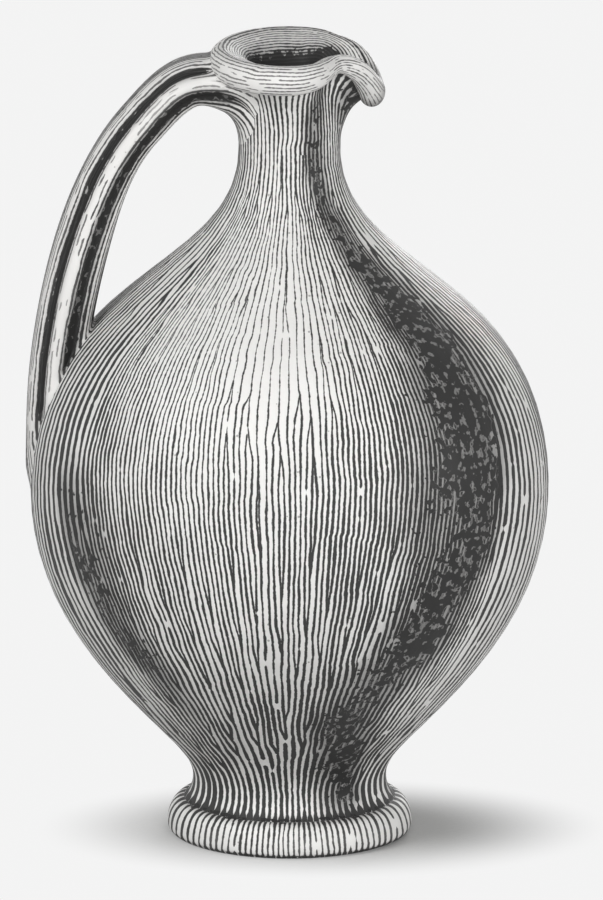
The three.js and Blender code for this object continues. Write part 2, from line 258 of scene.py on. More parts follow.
# At the mouth: from below the strap to above it, its reach up the strap and out over the jug
TOP_SMEAR_START = -0.1
TOP_SMEAR_RUN = 0.8
TOP_SMEAR_UP = (11.0, 1.4)
TOP_SMEAR_OUT = (11.0, 1.0)
TOP_SMEAR_SAG = 0.9
TOP_JOINT_SMOOTHING = 10
# At the belly: from below the strap to its back, the same two reaches
ROOT_SMEAR_START = 0.3
ROOT_SMEAR_RUN = 0.7
ROOT_SMEAR_UP = (3.0, 12.0)
ROOT_SMEAR_OUT = (2.5, 7.0)

# Burnishing strokes: long ones round the jug, and the spacing and width on the lip and the handle
LONG_STROKES = 70
LIP_STROKE_GAP = 1.1
LIP_STROKE_WIDTH = 0.36
STRAP_STROKE_GAP = 1.5
STRAP_STROKE_WIDTH = 0.5
STRAP_STROKE_FADING = 0.5
# The strap's strokes widen by this share where shade is painted
STRAP_STROKE_SHADING = 0.8
STRAP_COUNT_SHARE = 0.4
FOOT_STROKES = 92
FOOT_STROKE_COVER = 0.4
# At some heights: how often the long strokes are doubled, and the share of the clay that they cover, which
# paints shade, heaviest low on the body and lightest at the shoulder
STROKE_HEIGHTS = (0, 20, 33, 45, 60, 80, 108, 125, 142, 163, 175, 190, 202, 240)
STROKE_DOUBLINGS = (-0.2, 0.1, 0.7, 1.2, 1.62, 1.85, 2.0, 2.02, 2.0, 1.85, 1.45, 0.95, 0.3, 0.0)
STROKE_COVERS = (0.45, 0.6, 0.47, 0.44, 0.43, 0.42, 0.41, 0.36, 0.31, 0.26, 0.27, 0.36, 0.42, 0.36)
# Going down, the strokes sweep towards the middle of the front and the back between two heights
STROKE_SWEEP = 0.52
STROKE_SWEEP_TOP = 145.0
STROKE_SWEEP_END = 30.0
# Towards the spout's side and the handle's side one doubling ends: from which cosine of the turn,
# and over which run of it
SIDE_THINNING_START = 0.72
SIDE_THINNING_RUN = 0.13
# A painted highlight on the front and on the back, where strokes lie further apart and cover less
HIGHLIGHT_TURN = 0.05
HIGHLIGHT_HEIGHT = 160.0
HIGHLIGHT_RISE = 27.0
HIGHLIGHT_SPREAD = 0.29
HIGHLIGHT_THINNING = 1.0
HIGHLIGHT_BARENESS = 0.6
# Share of the clay that strokes cover in full painted shade, and how soon that shade widens them
SHADED_COVER = 0.68
SHADED_COVER_BEND = 0.7

# Painted shade, in streaks beside the jug's front and back
# At some heights: how far aside a streak lies, and how far it spreads on its near and far sides
PAINTED_SHADE_HEIGHTS = (18, 30, 45, 60, 75, 90, 108, 140, 160, 190, 205, 222, 236)
PAINTED_SHADE_LEANS = (0.62, 0.47, 0.38, 0.45, 0.62, 0.72, 0.82, 0.85, 0.87, 0.66, 0.47, 0.44, 0.75)
PAINTED_SHADE_NEAR_SPREADS = (0.46, 0.46, 0.39, 0.35, 0.36, 0.4, 0.5, 0.5, 0.33, 0.27, 0.27, 0.32, 0.3)
PAINTED_SHADE_FAR_SPREADS = (0.32, 0.32, 0.3, 0.3, 0.22, 0.2, 0.21, 0.34, 0.4, 0.36, 0.5, 0.62, 0.5)
# Each streak: turn of its face, side, further lean, narrowness, middle height, rise and strength
PAINTED_SHADE_STREAKS = (
    (-math.pi / 2, 1, 0.0, 1.0, 120, 300, 1.0),
    (-math.pi / 2, -1, 0.2, 0.68, 88, 66, 0.93),
    (-math.pi / 2, -1, 0.5, 0.8, 118, 60, 0.45),
    (-math.pi / 2, -1, 0.4, 1.0, 22, 13, 0.6),
    (math.pi / 2, 1, 0.1, 0.8, 80, 90, 0.7),
    (math.pi / 2, -1, 0.05, 1.0, 140, 110, 0.9),
)
# It starts at a height on the foot and comes up over a run
PAINTED_SHADE_START = 3
PAINTED_SHADE_RUN = 14
# Painted shade low on the front and the back
LOW_SHADE = 0.54
LOW_SHADE_TURN = 0.35
LOW_SHADE_HEIGHT = 36.0
LOW_SHADE_RISE = 22.0
# A thin streak of painted shade below the spout and the handle, which darkens the outline from the front,
# as deep as it reaches in from the outline. It swells under the mouth and fades at the shoulder
SIDE_SHADE = 1.0
SIDE_SHADE_DEPTH = 1.0
SIDE_SWELL_HEIGHT = 224
SIDE_SWELL_RISE = 10
SIDE_FADING = 0.7
SIDE_FADING_HEIGHT = 172
SIDE_FADING_RISE = 22


def bell(value, centre, spread):
    """Bell curve: e to the minus square of the distance from the centre, counted in spreads."""
    return np.exp(-(((value - centre) / spread) ** 2))


def ease(value):
    """Smooth step: 3 v^2 - 2 v^3 on v held between 0 and 1."""
    held = np.clip(value, 0.0, 1.0)
    return held * held * (3.0 - 2.0 * held)


def lerp(low, high, share):
    """The value that lies a share of the way from low to high."""
    return low + (high - low) * share


def unit(vector):
    """Each vector over its own length."""
    return vector / np.linalg.norm(vector, axis=-1, keepdims=True)


def bend(start, corner, end, t):
    """Quadratic curve led by a corner: its three points weighted by (1-t)^2, 2(1-t) t and t^2."""
    return (1 - t) ** 2 * start + 2 * (1 - t) * t * corner + t**2 * end


def curve(start, start_hand, end_hand, end, t):
    """Cubic curve led by two hands: its four points weighted by (1-t)^3, 3(1-t)^2 t, 3(1-t) t^2 and t^3."""
    t = np.asarray(t, float)[..., None]
    near = (1 - t) ** 3 * start + 3 * (1 - t) ** 2 * t * start_hand
    return near + 3 * (1 - t) * t**2 * end_hand + t**3 * end


def rising_curve(start, start_lean, start_arm, end, end_lean, end_arm, t):
    """A cubic curve whose hands follow a lean, radius per height, by an arm that is a share of the rise."""
    rise = end[1] - start[1]
    start_hand = start + np.array([start_lean, 1.0]) * start_arm * rise
    end_hand = end - np.array([end_lean, 1.0]) * end_arm * rise
    return curve(start, start_hand, end_hand, end, t)


def body_outline(samples=300):
    """Radius and height along the outside, waist to mouth: four joined rising curves."""
    waist = np.array([WAIST_RADIUS, WAIST_HEIGHT])
    flank = np.array([FLANK_RADIUS, FLANK_HEIGHT])
    belly = np.array([BELLY_RADIUS, BELLY_HEIGHT])
    shoulder = np.array([SHOULDER_RADIUS, SHOULDER_HEIGHT])
    throat = np.array([NECK_RADIUS, NECK_HEIGHT])
    top = np.array([[NECK_RADIUS, MOUTH_BASE]])
    t = np.linspace(0, 1, samples)
    parts = [
        rising_curve(waist, 0, WAIST_ARM, flank, FLANK_LEAN, FLANK_LOWER_ARM, t),
        rising_curve(flank, FLANK_LEAN, FLANK_UPPER_ARM, belly, 0, BELLY_LOWER_ARM, t)[1:],
        rising_curve(belly, 0, BELLY_UPPER_ARM, shoulder, SHOULDER_LEAN, SHOULDER_LOWER_ARM, t)[1:],
        rising_curve(shoulder, SHOULDER_LEAN, SHOULDER_UPPER_ARM, throat, 0, NECK_ARM, t)[1:],
        top,
    ]
    return np.concatenate(parts)


def offset_outline(outline, inward):
    """The outline moved inward along its normal, which is its tangent turned a quarter."""
    along = unit(np.gradient(outline, axis=0))
    return outline + inward * np.stack([-along[:, 1], along[:, 0]], 1)


OUTSIDE = body_outline()
INSIDE = offset_outline(OUTSIDE, WALL)


def outside_radius(height):
    """Radius of the plain outside at a height, read off its outline."""
    return np.interp(height, OUTSIDE[:, 1], OUTSIDE[:, 0])


def inside_radius(height):
    """Radius of the inside at a height, read off its outline."""
    return np.interp(height, INSIDE[:, 1], INSIDE[:, 0])


# Marks of the hand: all of them go inward, so the jug keeps its size


def hand_marks(turn, height):
    """Inward depth: a low spiral of throwing rings, tall burnished facets, dents and a slight oval.

    Each is a sine raised to stay above zero. The turn enters by whole numbers, so it closes.
    Facets and dents shrink with the radius.
    """
    waver = RING_DRIFT * np.sin(height / RING_DRIFT_RISE)
    waver = waver + RING_SWAY * np.sin(2 * turn + height / RING_SWAY_RISE)
    rings = RING_DEPTH * (1 + np.sin(turn - 2 * np.pi * height / RING_PITCH + waver))
    broad = outside_radius(height) / BELLY_RADIUS
    sway = FACET_SWAY * np.sin(height / FACET_SWAY_RISE + 2 * turn)
    facets = FACET_DEPTH * broad**2 * (1 + np.sin(LONG_STROKES * turn + sway))
    crossed = np.sin(3 * turn + height / DENT_RISE) * np.sin(5 * turn - height / DENT_CROSS_RISE)
    dents = DENT_DEPTH * broad * (1 + crossed)
    oval = OVAL_DEPTH * (1 + np.cos(2 * turn + OVAL_TURN))
    return (rings + facets + dents + oval) * ease((height - FOOT_TOP + MARKS_START) / MARKS_RUN)


def stroke_sweep(height):
    """How far the strokes are swept: a smooth step from the sweep's top down to its end."""
    return STROKE_SWEEP * ease((STROKE_SWEEP_TOP - height) / (STROKE_SWEEP_TOP - STROKE_SWEEP_END))


def stroke_number(turn, height, strokes=LONG_STROKES):
    """Strokes counted round the jug: the turn less a sine of its double, which draws them together."""
    return (turn - stroke_sweep(height) * np.sin(2 * turn) / 2) * strokes / (2 * np.pi)


def closeness(turn, height):
    """How many times closer than even the long strokes lie: one less the sweep times a cosine."""
    return 1 - stroke_sweep(height) * np.cos(2 * turn)


def stroke_gap(turn, radius, height, strokes=LONG_STROKES):
    """Spacing of the long strokes: the girth over their number, less where they draw together."""
    return 2 * np.pi * radius / strokes / closeness(turn, height)


def painted_highlight(turn, height):
    """How much highlight is painted on the front and the back: a bell curve of the turn's cosine and one of
    the height.
    """
    return bell(np.cos(turn + HIGHLIGHT_TURN), 0, HIGHLIGHT_SPREAD) * bell(height, HIGHLIGHT_HEIGHT, HIGHLIGHT_RISE)


def stroke_doublings(turn, height):
    """How often the long strokes are doubled: a curve of height, thinned in the painted highlight and at
    the sides.

    Strokes that lie closer together are doubled less, by the logarithm of how much closer.
    """
    doublings = np.interp(height, STROKE_HEIGHTS, STROKE_DOUBLINGS) - HIGHLIGHT_THINNING * painted_highlight(turn, height)
    doublings = doublings - np.log2(closeness(turn, height))
    ended = ease((np.abs(np.cos(turn)) - SIDE_THINNING_START) / SIDE_THINNING_RUN)
    return np.maximum(0, doublings - ended)


def stroke_width(turn, radius, height):
    """The covered share of the gap that is left between two strokes after the doublings. The cover paints
    shade: it grows with the painted shade and shrinks in the painted highlight.
    """
    cover = np.interp(height, STROKE_HEIGHTS, STROKE_COVERS) * (1 - HIGHLIGHT_BARENESS * painted_highlight(turn, height))
    cover = lerp(cover, SHADED_COVER, painted_shade(turn, height) ** SHADED_COVER_BEND)
    return cover * stroke_gap(turn, radius, height) / 2 ** stroke_doublings(turn, height)


def painted_shade(turn, height):
    """How much shade is painted on the clay: the greatest of the streaks, each a bell curve about a leaning
    line.

    More painted shade lies low on the front and the back, and in a thin streak below the spout and the
    handle.
    """
    lean = np.interp(height, PAINTED_SHADE_HEIGHTS, PAINTED_SHADE_LEANS)
    near_spread = np.interp(height, PAINTED_SHADE_HEIGHTS, PAINTED_SHADE_NEAR_SPREADS)
    far_spread = np.interp(height, PAINTED_SHADE_HEIGHTS, PAINTED_SHADE_FAR_SPREADS)
    faced = np.sin(turn + LOW_SHADE_TURN) ** 2
    low_shade = LOW_SHADE * faced * bell(height, LOW_SHADE_HEIGHT, LOW_SHADE_RISE)
    swell = 1 + bell(height, SIDE_SWELL_HEIGHT, SIDE_SWELL_RISE)
    side_spread = np.sqrt(2 * SIDE_SHADE_DEPTH / outside_radius(height)) * swell
    kept = 1 - SIDE_FADING * bell(height, SIDE_FADING_HEIGHT, SIDE_FADING_RISE)
    side_shade = SIDE_SHADE * bell(np.sin(turn), 0, side_spread) * kept
    streaks = [low_shade, side_shade]
    for face, side, further, narrowness, middle_height, rise, strength in PAINTED_SHADE_STREAKS:
        apart = side * ((turn - face - side * (lean + further) + np.pi) % (2 * np.pi) - np.pi)
        beside = bell(apart, 0, narrowness * np.where(apart < 0, near_spread, far_spread))
        streaks.append(strength * beside * bell(height, middle_height, rise))
    return np.max(streaks, axis=0) * ease((height - PAINTED_SHADE_START) / PAINTED_SHADE_RUN)


def climb(height):
    """Length of the outside from the waist up to a height. Below the waist it is the height itself."""
    step = np.linalg.norm(np.diff(OUTSIDE, axis=0), axis=1)
    up_body = np.interp(height, OUTSIDE[:, 1], np.append(0, np.cumsum(step)))
    return np.where(height < WAIST_HEIGHT, height - WAIST_HEIGHT, up_body)


def jug_radius(turn, height):
    """Radius of the outside at a turn from the spout and a height: body below, mouth above."""
    body = outside_radius(height) - hand_marks(turn, height)
    return np.where(height < MOUTH_BASE, body, mouth_radius(turn, height))


# Mouth


def lip_at(turn):
    """Middle of the lip's roll and its half width, at a turn from the spout.

    The middle follows an oval, drawn in and raised at two pinches and lowered at the beak,
    each of them a bell curve of the turn.
    """
    from_spout = np.abs((turn + np.pi) % (2 * np.pi) - np.pi)
    along, across = np.cos(from_spout), np.sin(from_spout)
    pinch = bell(from_spout, PINCH_ANGLE, PINCH_SPREAD)
    beak = bell(from_spout, 0, BEAK_SPREAD)
    oval = 1 / np.hypot(along / np.where(along > 0, LIP_FRONT, LIP_BACK), across / LIP_SIDE)
    radius = oval - PINCH_DEPTH * pinch
    height = LIP_HEIGHT + PINCH_RISE * pinch - BEAK_DROOP * beak
    return radius, height, LIP_ROLL - PINCH_THINNING * pinch + BEAK_SWELL * beak


def on_roll(turn, angle):
    """A point of the lip's roll: an ellipse LIP_TALLNESS times as tall as it is wide."""
    radius, height, roll = lip_at(turn)
    return np.stack([radius + roll * np.cos(angle), height + LIP_TALLNESS * roll * np.sin(angle)], -1)


def mouth_wall(turn, t):
    """The mouth's outer wall: a cubic curve that leaves the neck upright and flares into the roll."""
    base = np.stack(np.broadcast_arrays(NECK_RADIUS + 0 * turn, MOUTH_BASE), -1)
    end = on_roll(turn, ROLL_START)
    rise = (end - base)[..., 1:]
    flare = np.array([math.sin(WALL_FLARE), math.cos(WALL_FLARE)])
    start_hand = base + np.array([0.0, THROAT_ARM]) * rise
    return curve(base, start_hand, end - flare * LIP_ARM * rise, end, t)


def wall_marks(turn, height, t):
    """The hand's marks on the mouth's wall, which fade out by a smooth step below the roll."""
    return hand_marks(turn, height) * ease((1 - t) / WALL_MARKS_FADE)


def mouth_dish(turn, t):
    """The mouth's inside: a cubic curve from the roll along a shallow slope, then down into the bore."""
    rim = on_roll(turn, ROLL_END)
    bore = np.full_like(rim[..., 0], NECK_RADIUS - WALL)
    run = DISH_RUN * (rim[..., 0] - bore)
    slope_hand = np.stack([rim[..., 0] - run, rim[..., 1] - DISH_SLOPE * run], -1)
    bore_hand = np.stack([bore, MOUTH_BASE + BORE_ARM * (rim[..., 1] - MOUTH_BASE)], -1)
    return curve(rim, slope_hand, bore_hand, np.stack([bore, 0 * bore + MOUTH_BASE], -1), t)


def mouth_radius(turn, height, halvings=24):
    """Outer radius of the mouth at a height: the wall, found by halving, or the roll's outer arc."""
    turn, height = np.broadcast_arrays(turn, np.asarray(height, float))
    low, high = np.zeros(turn.shape), np.ones(turn.shape)
    for _ in range(halvings):
        middle = (low + high) / 2
        below = mouth_wall(turn, middle)[..., 1] < height
        low, high = np.where(below, middle, low), np.where(below, high, middle)
    wall = mouth_wall(turn, low)[..., 0] - wall_marks(turn, height, low)
    radius, middle_height, roll = lip_at(turn)
    rise = np.clip((height - middle_height) / (LIP_TALLNESS * roll), -1, 1)
    arc = radius + roll * np.sqrt(1 - rise**2)
    return np.where(np.abs(rise) < 1, np.maximum(wall, arc), wall)


# Meshes: a grid of points with rows and columns, where columns always close round

# Edges that turn by more than this many degrees are shaded as sharp ones
SHARP_ANGLE = 40


def grid_faces(rows, columns, rows_close):
    """Corner numbers of each cell, in the order that faces outward when rows rise and columns turn."""
    row = np.arange(rows if rows_close else rows - 1)[:, None]
    column = np.arange(columns)[None, :]
    next_row, next_column = (row + 1) % rows, (column + 1) % columns
    corners = (
        row * columns + column,
        row * columns + next_column,
        next_row * columns + next_column,
        next_row * columns + column,
    )
    return np.stack(np.broadcast_arrays(*corners), -1)


def corner_uv(stroke, along):
    """Each cell's four corner pairs (stroke number, millimetres along it), from grids one column wider."""
    pairs = np.stack(np.broadcast_arrays(stroke, along), -1)
    return np.stack([pairs[:-1, :-1], pairs[:-1, 1:], pairs[1:, 1:], pairs[1:, :-1]], 2)


def make_piece(name, points, uv, fields, rows_close=False, tips=()):
    """A mesh from a grid of points, with corner UVs, vertex fields and fans that close it at tips.

    Each tip is (row number, point, whether the fan faces along falling rows).
    """
    rows, columns = points.shape[:2]
    cells = grid_faces(rows, columns, rows_close).reshape(-1, 4)
    vertices = points.reshape(-1, 3)
    faces = cells.tolist()
    pairs = [uv.reshape(-1, 2)]
    values = {key: np.broadcast_to(field, (rows, columns)).ravel() for key, field in fields.items()}
    ring = np.arange(columns)
    for row, tip, falling in tips:
        here = row % rows * columns + ring
        beside = row % rows * columns + (ring + 1) % columns
        centre = np.full(columns, len(vertices))
        order = (beside, here, centre) if falling else (here, beside, centre)
        faces += np.stack(order, 1).tolist()
        vertices = np.concatenate([vertices, [tip]])
        pairs.append(np.zeros((3 * columns, 2)))
        values = {key: np.append(field, field[here[0]]) for key, field in values.items()}
    mesh = bpy.data.meshes.new(name)
    mesh.from_pydata((vertices * MM).tolist(), [], faces, shade_flat=False)
    layer = mesh.uv_layers.new(name="strokes")
    layer.data.foreach_set("uv", np.concatenate(pairs).astype(np.float32).ravel())
    for key, field in values.items():
        attribute = mesh.attributes.new(key, "FLOAT", "POINT")
        attribute.data.foreach_set("value", field.astype(np.float32))
    mesh.set_sharp_from_angle(angle=math.radians(SHARP_ANGLE))
    mesh.validate()
    piece = bpy.data.objects.new(name, mesh)
    bpy.context.scene.collection.objects.link(piece)
    return piece


def place(piece, node, material):
    """The piece stands for a node of the frame, on the jug's one body, with a finish."""
    piece.data.materials.append(material)
    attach(piece, "root")
    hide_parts(node)


# Turned pieces

TURN_COLUMNS = 576
WIDE_TURN = np.linspace(0, 2 * np.pi, TURN_COLUMNS + 1)[None, :]
TURN = WIDE_TURN[:, :-1]
# Rows of a layer of slip between its lower and upper edges
SLIP_STEPS = 4


def round_axis(radius, height):
    """Points at a radius and a height for each turn: (r cos turn, r sin turn, height)."""
    return np.stack(np.broadcast_arrays(radius * np.cos(TURN), radius * np.sin(TURN), height), -1)


def turned_piece(name, profile, burnish, hollow_shade=0.0, wear=0.0, poles=False, strokes=LONG_STROKES, own=None):
    """A turned piece: the profile of (radius, height) runs up the outside, down the inside and closes.

    burnish is 1 on the profile's burnished outside, which has the hand's marks, and 0 inside. With
    poles the profile starts and ends near the axis, and fans close it there. A piece with its own
    numbers of strokes, row by row, gives their vertex fields.
    """
    burnish = np.asarray(burnish, float)[:, None]
    radius, height = profile[:, :1], profile[:, 1:]
    points = round_axis(radius - burnish * hand_marks(TURN, height), height)
    strokes = np.broadcast_to(strokes, len(profile))[:, None]
    if poles:
        uv = corner_uv(stroke_number(WIDE_TURN, height, strokes), climb(height))
    else:
        ring, ring_strokes = np.append(height, height[:1], 0), np.append(strokes, strokes[:1], 0)
        uv = corner_uv(stroke_number(WIDE_TURN, ring, ring_strokes), climb(ring))
    # Painted shade in corners and hollows comes in through the hollow field below
    fields = {
        "stroke_gap": stroke_gap(TURN, radius, height),
        "stroke_doublings": stroke_doublings(TURN, height),
        "stroke_width": stroke_width(TURN, radius, height),
        "burnish": burnish,
        "hollow_shade": np.broadcast_to(hollow_shade, len(profile))[:, None],
        "wear": np.broadcast_to(wear, len(profile))[:, None],
        "painted_shade": burnish * painted_shade(TURN, height),
        **(own or {}),
    }
    tips = ()
    if poles:
        first, last = profile[0], profile[-1]
        tips = ((0, (0, 0, first[1]), True), (len(profile) - 1, (0, 0, last[1]), False))
    return make_piece(name, points, uv, fields, not poles, tips)


def heights(low, high, gap):
    """Heights from low to high, evenly spaced at about a gap."""
    return np.linspace(low, high, max(2, int(round((high - low) / gap)) + 1))


def outer_run(low, high, gap=0.9):
    """The body's outside between two heights, as (radius, height)."""
    level = heights(low, high, gap)
    return np.stack([outside_radius(level), level], 1)


def inner_run(low, high, gap=3.0):
    """The body's inside between two heights, downward, as (radius, height)."""
    level = heights(low, high, gap)[::-1]
    return np.stack([inside_radius(level), level], 1)


def ridge(outer, inner):
    """The crest of a rim's ridge, halfway between its edges and a key's height above them."""
    return (outer + inner)[None, :] / 2 + np.array([[0, KEY_HEIGHT]])


def joined(*parts):
    """One profile from parts (points, 1 outside or 0 inside), and that share for each point."""
    profile = np.concatenate([points for points, _ in parts])
    return profile, np.concatenate([np.full(len(points), float(share)) for points, share in parts])


def quarter_round(centre, width, rise, turns):
    """Points of an ellipse about a centre: width times cosine outward, rise times sine upward."""
    return centre + np.stack([width * np.cos(turns), rise * np.sin(turns)], 1)


def foot_profile():
    """Flat rest, rounded band from two quarter ellipses, crease, cove and the socket for the boss.

    The cove is a bend that leaves the crease towards the waist and arrives upright.
    """
    rest_edge = np.array([FOOT_REST_RADIUS, FOOT_BAND_HEIGHT])
    crease_foot = np.array([FOOT_CREASE_RADIUS, FOOT_BAND_HEIGHT])
    under_width = FOOT_BAND_RADIUS - FOOT_REST_RADIUS
    over_width = FOOT_BAND_RADIUS - FOOT_CREASE_RADIUS
    under_turns = np.linspace(-np.pi / 2, 0, FOOT_UNDER_ROWS)
    over_turns = np.linspace(0, np.pi / 2, FOOT_OVER_ROWS)
    under = quarter_round(rest_edge, under_width, FOOT_BAND_HEIGHT, under_turns)
    over_rise = FOOT_CREASE_HEIGHT - FOOT_BAND_HEIGHT
    over = quarter_round(crease_foot, over_width, over_rise, over_turns)[1:]
    crease = np.array([FOOT_CREASE_RADIUS, FOOT_CREASE_HEIGHT])
    waist = np.array([WAIST_RADIUS, FOOT_TOP])
    turn_in = np.array([WAIST_RADIUS, FOOT_TOP - FOOT_COVE_ARM * (FOOT_TOP - FOOT_CREASE_HEIGHT)])
    cove = bend(crease, turn_in, waist, np.linspace(0, 1, FOOT_COVE_ROWS)[1:, None])
    socket = np.array([[SOCKET_RADIUS, FOOT_TOP], [SOCKET_RADIUS, BOSS_BOTTOM]])
    rest_inside = np.array([FOOT_REST_RADIUS - FOOT_REST_WIDTH, 0.0])
    slope = lerp(socket[1], rest_inside, FOOT_SLOPE_SHARES[:, None])
    rest = rest_inside + np.array([[place_on, 0.0] for place_on in FOOT_REST_PLACES])
    return joined((rest, 0), (under, 1), (over, 1), (cove, 1), (socket, 0), (slope, 0))


def foot_ring():
    """The turned foot, with strokes of its own across the band, painted shade in its corners and worn
    crests.
    """
    profile, outside = foot_profile()
    radius, level = profile[:, :1], profile[:, 1]
    in_crease = CREASE_SHADE * bell(level, FOOT_CREASE_HEIGHT + CREASE_SHADE_LIFT, CREASE_SHADE_RISE)
    hollow_shade = outside * (in_crease + UNDER_BAND_SHADE * ease(UNDER_BAND_HEIGHT - level))
    band_wear = BAND_WEAR * bell(level, FOOT_BAND_HEIGHT + BAND_WEAR_LIFT, BAND_WEAR_RISE)
    wear = np.where(outside > 0, band_wear, bell(level, 0, REST_WEAR_RISE))
    height = profile[:, 1:]
    on_band = height < FOOT_CREASE_HEIGHT
    strokes = np.where(on_band, FOOT_STROKES, LONG_STROKES)
    gap = stroke_gap(TURN, radius, height, strokes)
    cove_width = stroke_width(TURN, radius, height)
    own = {
        "stroke_gap": gap,
        "stroke_doublings": np.where(on_band, 0.0, stroke_doublings(TURN, height)),
        "stroke_width": np.where(on_band, FOOT_STROKE_COVER * gap, cove_width),
    }
    return turned_piece("foot_ring_turned", profile, outside, hollow_shade, wear, strokes=strokes[:, 0], own=own)


def seam_slip(name, height):
    """A thin layer of slip over a ridged rim: outside, upper crest, inside and lower crest."""
    top = height + SLIP_THICKNESS
    outside = outer_run(height, top, SLIP_THICKNESS / SLIP_STEPS)
    inside = inner_run(height, top)
    crest_over, crest_under = ridge(outside[-1], inside[0]), ridge(outside[0], inside[-1])
    profile, share = joined((outside, 1), (crest_over, 0), (inside, 0), (crest_under, 0))
    return turned_piece(name, profile, share)


def foot_slip():
    """The flat layer of slip between the foot and the body."""
    level = heights(FOOT_TOP, WAIST_HEIGHT, SLIP_THICKNESS / SLIP_STEPS)
    outside = np.stack([np.full_like(level, WAIST_RADIUS), level], 1)
    inside = np.array([[SOCKET_RADIUS, WAIST_HEIGHT], [SOCKET_RADIUS, FOOT_TOP]])
    profile, share = joined((outside, 1), (inside, 0))
    return turned_piece("foot_slip_wiped", profile, share)


def lower_body():
    """A bowl: boss, outside up to the seam, ridged rim, inside and a floor that is a bend to the axis."""
    boss_start = [BOSS_POLE_RADIUS, BOSS_BOTTOM]
    boss = np.array([boss_start, [BOSS_RADIUS, BOSS_BOTTOM], [BOSS_RADIUS, WAIST_HEIGHT]])
    outside = outer_run(WAIST_HEIGHT, BELLY_SEAM)
    inside = inner_run(FLOOR_BLEND, BELLY_SEAM)
    blend, above = inside[-1], inside[-2]
    lean = (above[0] - blend[0]) / (above[1] - blend[1])
    corner = np.array([blend[0] - lean * (blend[1] - FLOOR_TOP), FLOOR_TOP])
    floor_t = np.linspace(0, 1, FLOOR_ROWS)[1:-1, None]
    floor_run = bend(blend, corner, np.array([0.0, FLOOR_TOP]), floor_t)
    rim = ridge(outside[-1], inside[0])
    profile, share = joined((boss, 0), (outside, 1), (rim, 0), (inside, 0), (floor_run, 0))
    return turned_piece("lower_body_thrown", profile, share, poles=True)


def thrown_section(name, low, high):
    """A hollow section between two seams, ridged above and grooved below."""
    outside = outer_run(low, high)
    inside = inner_run(low, high)
    rim, groove = ridge(outside[-1], inside[0]), ridge(outside[0], inside[-1])
    profile, share = joined((outside, 1), (rim, 0), (inside, 0), (groove, 0))
    return turned_piece(name, profile, share)


def collar_section():
    """The mouth's wall, roll and dish at each turn, and the crest of the groove that closes them."""
    wall_t = np.linspace(0, 1, COLLAR_WALL_ROWS)[:, None]
    wall = mouth_wall(TURN, wall_t)
    wall[..., 0] -= wall_marks(TURN, wall[..., 1], wall_t)
    roll = on_roll(TURN, np.linspace(ROLL_START, ROLL_END, COLLAR_ROLL_ROWS + 2)[1:-1, None])
    dish = mouth_dish(TURN, np.linspace(0, 1, COLLAR_DISH_ROWS)[:, None])
    groove = ((wall[0] + dish[-1]) / 2 + np.array([0, KEY_HEIGHT]))[None]
    return np.concatenate([wall, roll, dish, groove])


def collar_fields(section):
    """The mouth's vertex fields. Painted shade in its hollows and on the beak, and wear, are bell curves
    and smooth steps of row and turn.
    """
    row = np.arange(len(section))[:, None]
    of_wall = row < COLLAR_WALL_ROWS
    depth = (row - COLLAR_WALL_ROWS - COLLAR_ROLL_ROWS) / COLLAR_DISH_ROWS
    roll_angle = lerp(ROLL_START, ROLL_END, (row - COLLAR_WALL_ROWS) / COLLAR_ROLL_ROWS)
    under_lip = UNDER_LIP_SHADE * ease((row / COLLAR_WALL_ROWS - UNDER_LIP_START) / UNDER_LIP_RUN)
    on_crest = CREST_SHADE * bell(roll_angle, CREST_ANGLE, CREST_SPREAD)
    channel = bell(np.cos(TURN), 1, CHANNEL_SPREAD)
    shade_run = THROAT_SHADE_RUN - CHANNEL_SHADE_LOSS * channel
    down_throat = ease((depth - THROAT_SHADE_START + CHANNEL_SHADE_LEAD * channel) / shade_run)
    on_beak = bell(np.sin(TURN), 0, BEAK_SHADE_SPREAD) * ease(BEAK_SHADE_FRONT * np.cos(TURN))
    on_beak = on_beak * (1 - ease(depth / BEAK_SHADE_DEPTH))
    lip_row = COLLAR_WALL_ROWS + LIP_WEAR_PLACE * COLLAR_ROLL_ROWS
    radius, height = section[..., 0], section[..., 1]
    return {
        "stroke_gap": np.where(of_wall, stroke_gap(TURN, radius, height), LIP_STROKE_GAP),
        "stroke_doublings": np.zeros((1, 1)),
        "stroke_width": np.where(of_wall, stroke_width(TURN, radius, height), LIP_STROKE_WIDTH),
        "burnish": np.where(of_wall, 1.0, 1 - ease((depth - DISH_BURNISH_END) / DISH_BURNISH_RUN)),
        "hollow_shade": np.where(of_wall, under_lip, np.maximum(on_crest, down_throat)),
        "wear": LIP_WEAR * bell(row, lip_row, LIP_WEAR_SPREAD * COLLAR_ROLL_ROWS),
        "painted_shade": np.where(of_wall, painted_shade(TURN, height), on_beak),
    }


def spout_collar():
    """The mouth: its section carried round the axis.

    Strokes stand upright on the wall. From the roll inward they run round the rim, row by row, and
    the first lies half a gap past the wall.
    """
    section = collar_section()
    points = round_axis(section[..., 0], section[..., 1])
    step = np.linalg.norm(np.diff(section, axis=0, prepend=section[:1]), axis=-1).mean(1)
    run = np.append(np.cumsum(step), 0)[:, None]
    last = COLLAR_WALL_ROWS - 1
    upright = corner_uv(stroke_number(WIDE_TURN, MOUTH_BASE), climb(MOUTH_BASE) + run)
    around = corner_uv((run - run[last]) / LIP_STROKE_GAP + 0.5, WIDE_TURN * LIP_SIDE)
    uv = np.concatenate([upright[:last], around[last:]])
    return make_piece("spout_collar_pinched", points, uv, collar_fields(section), True)


# Strap handle


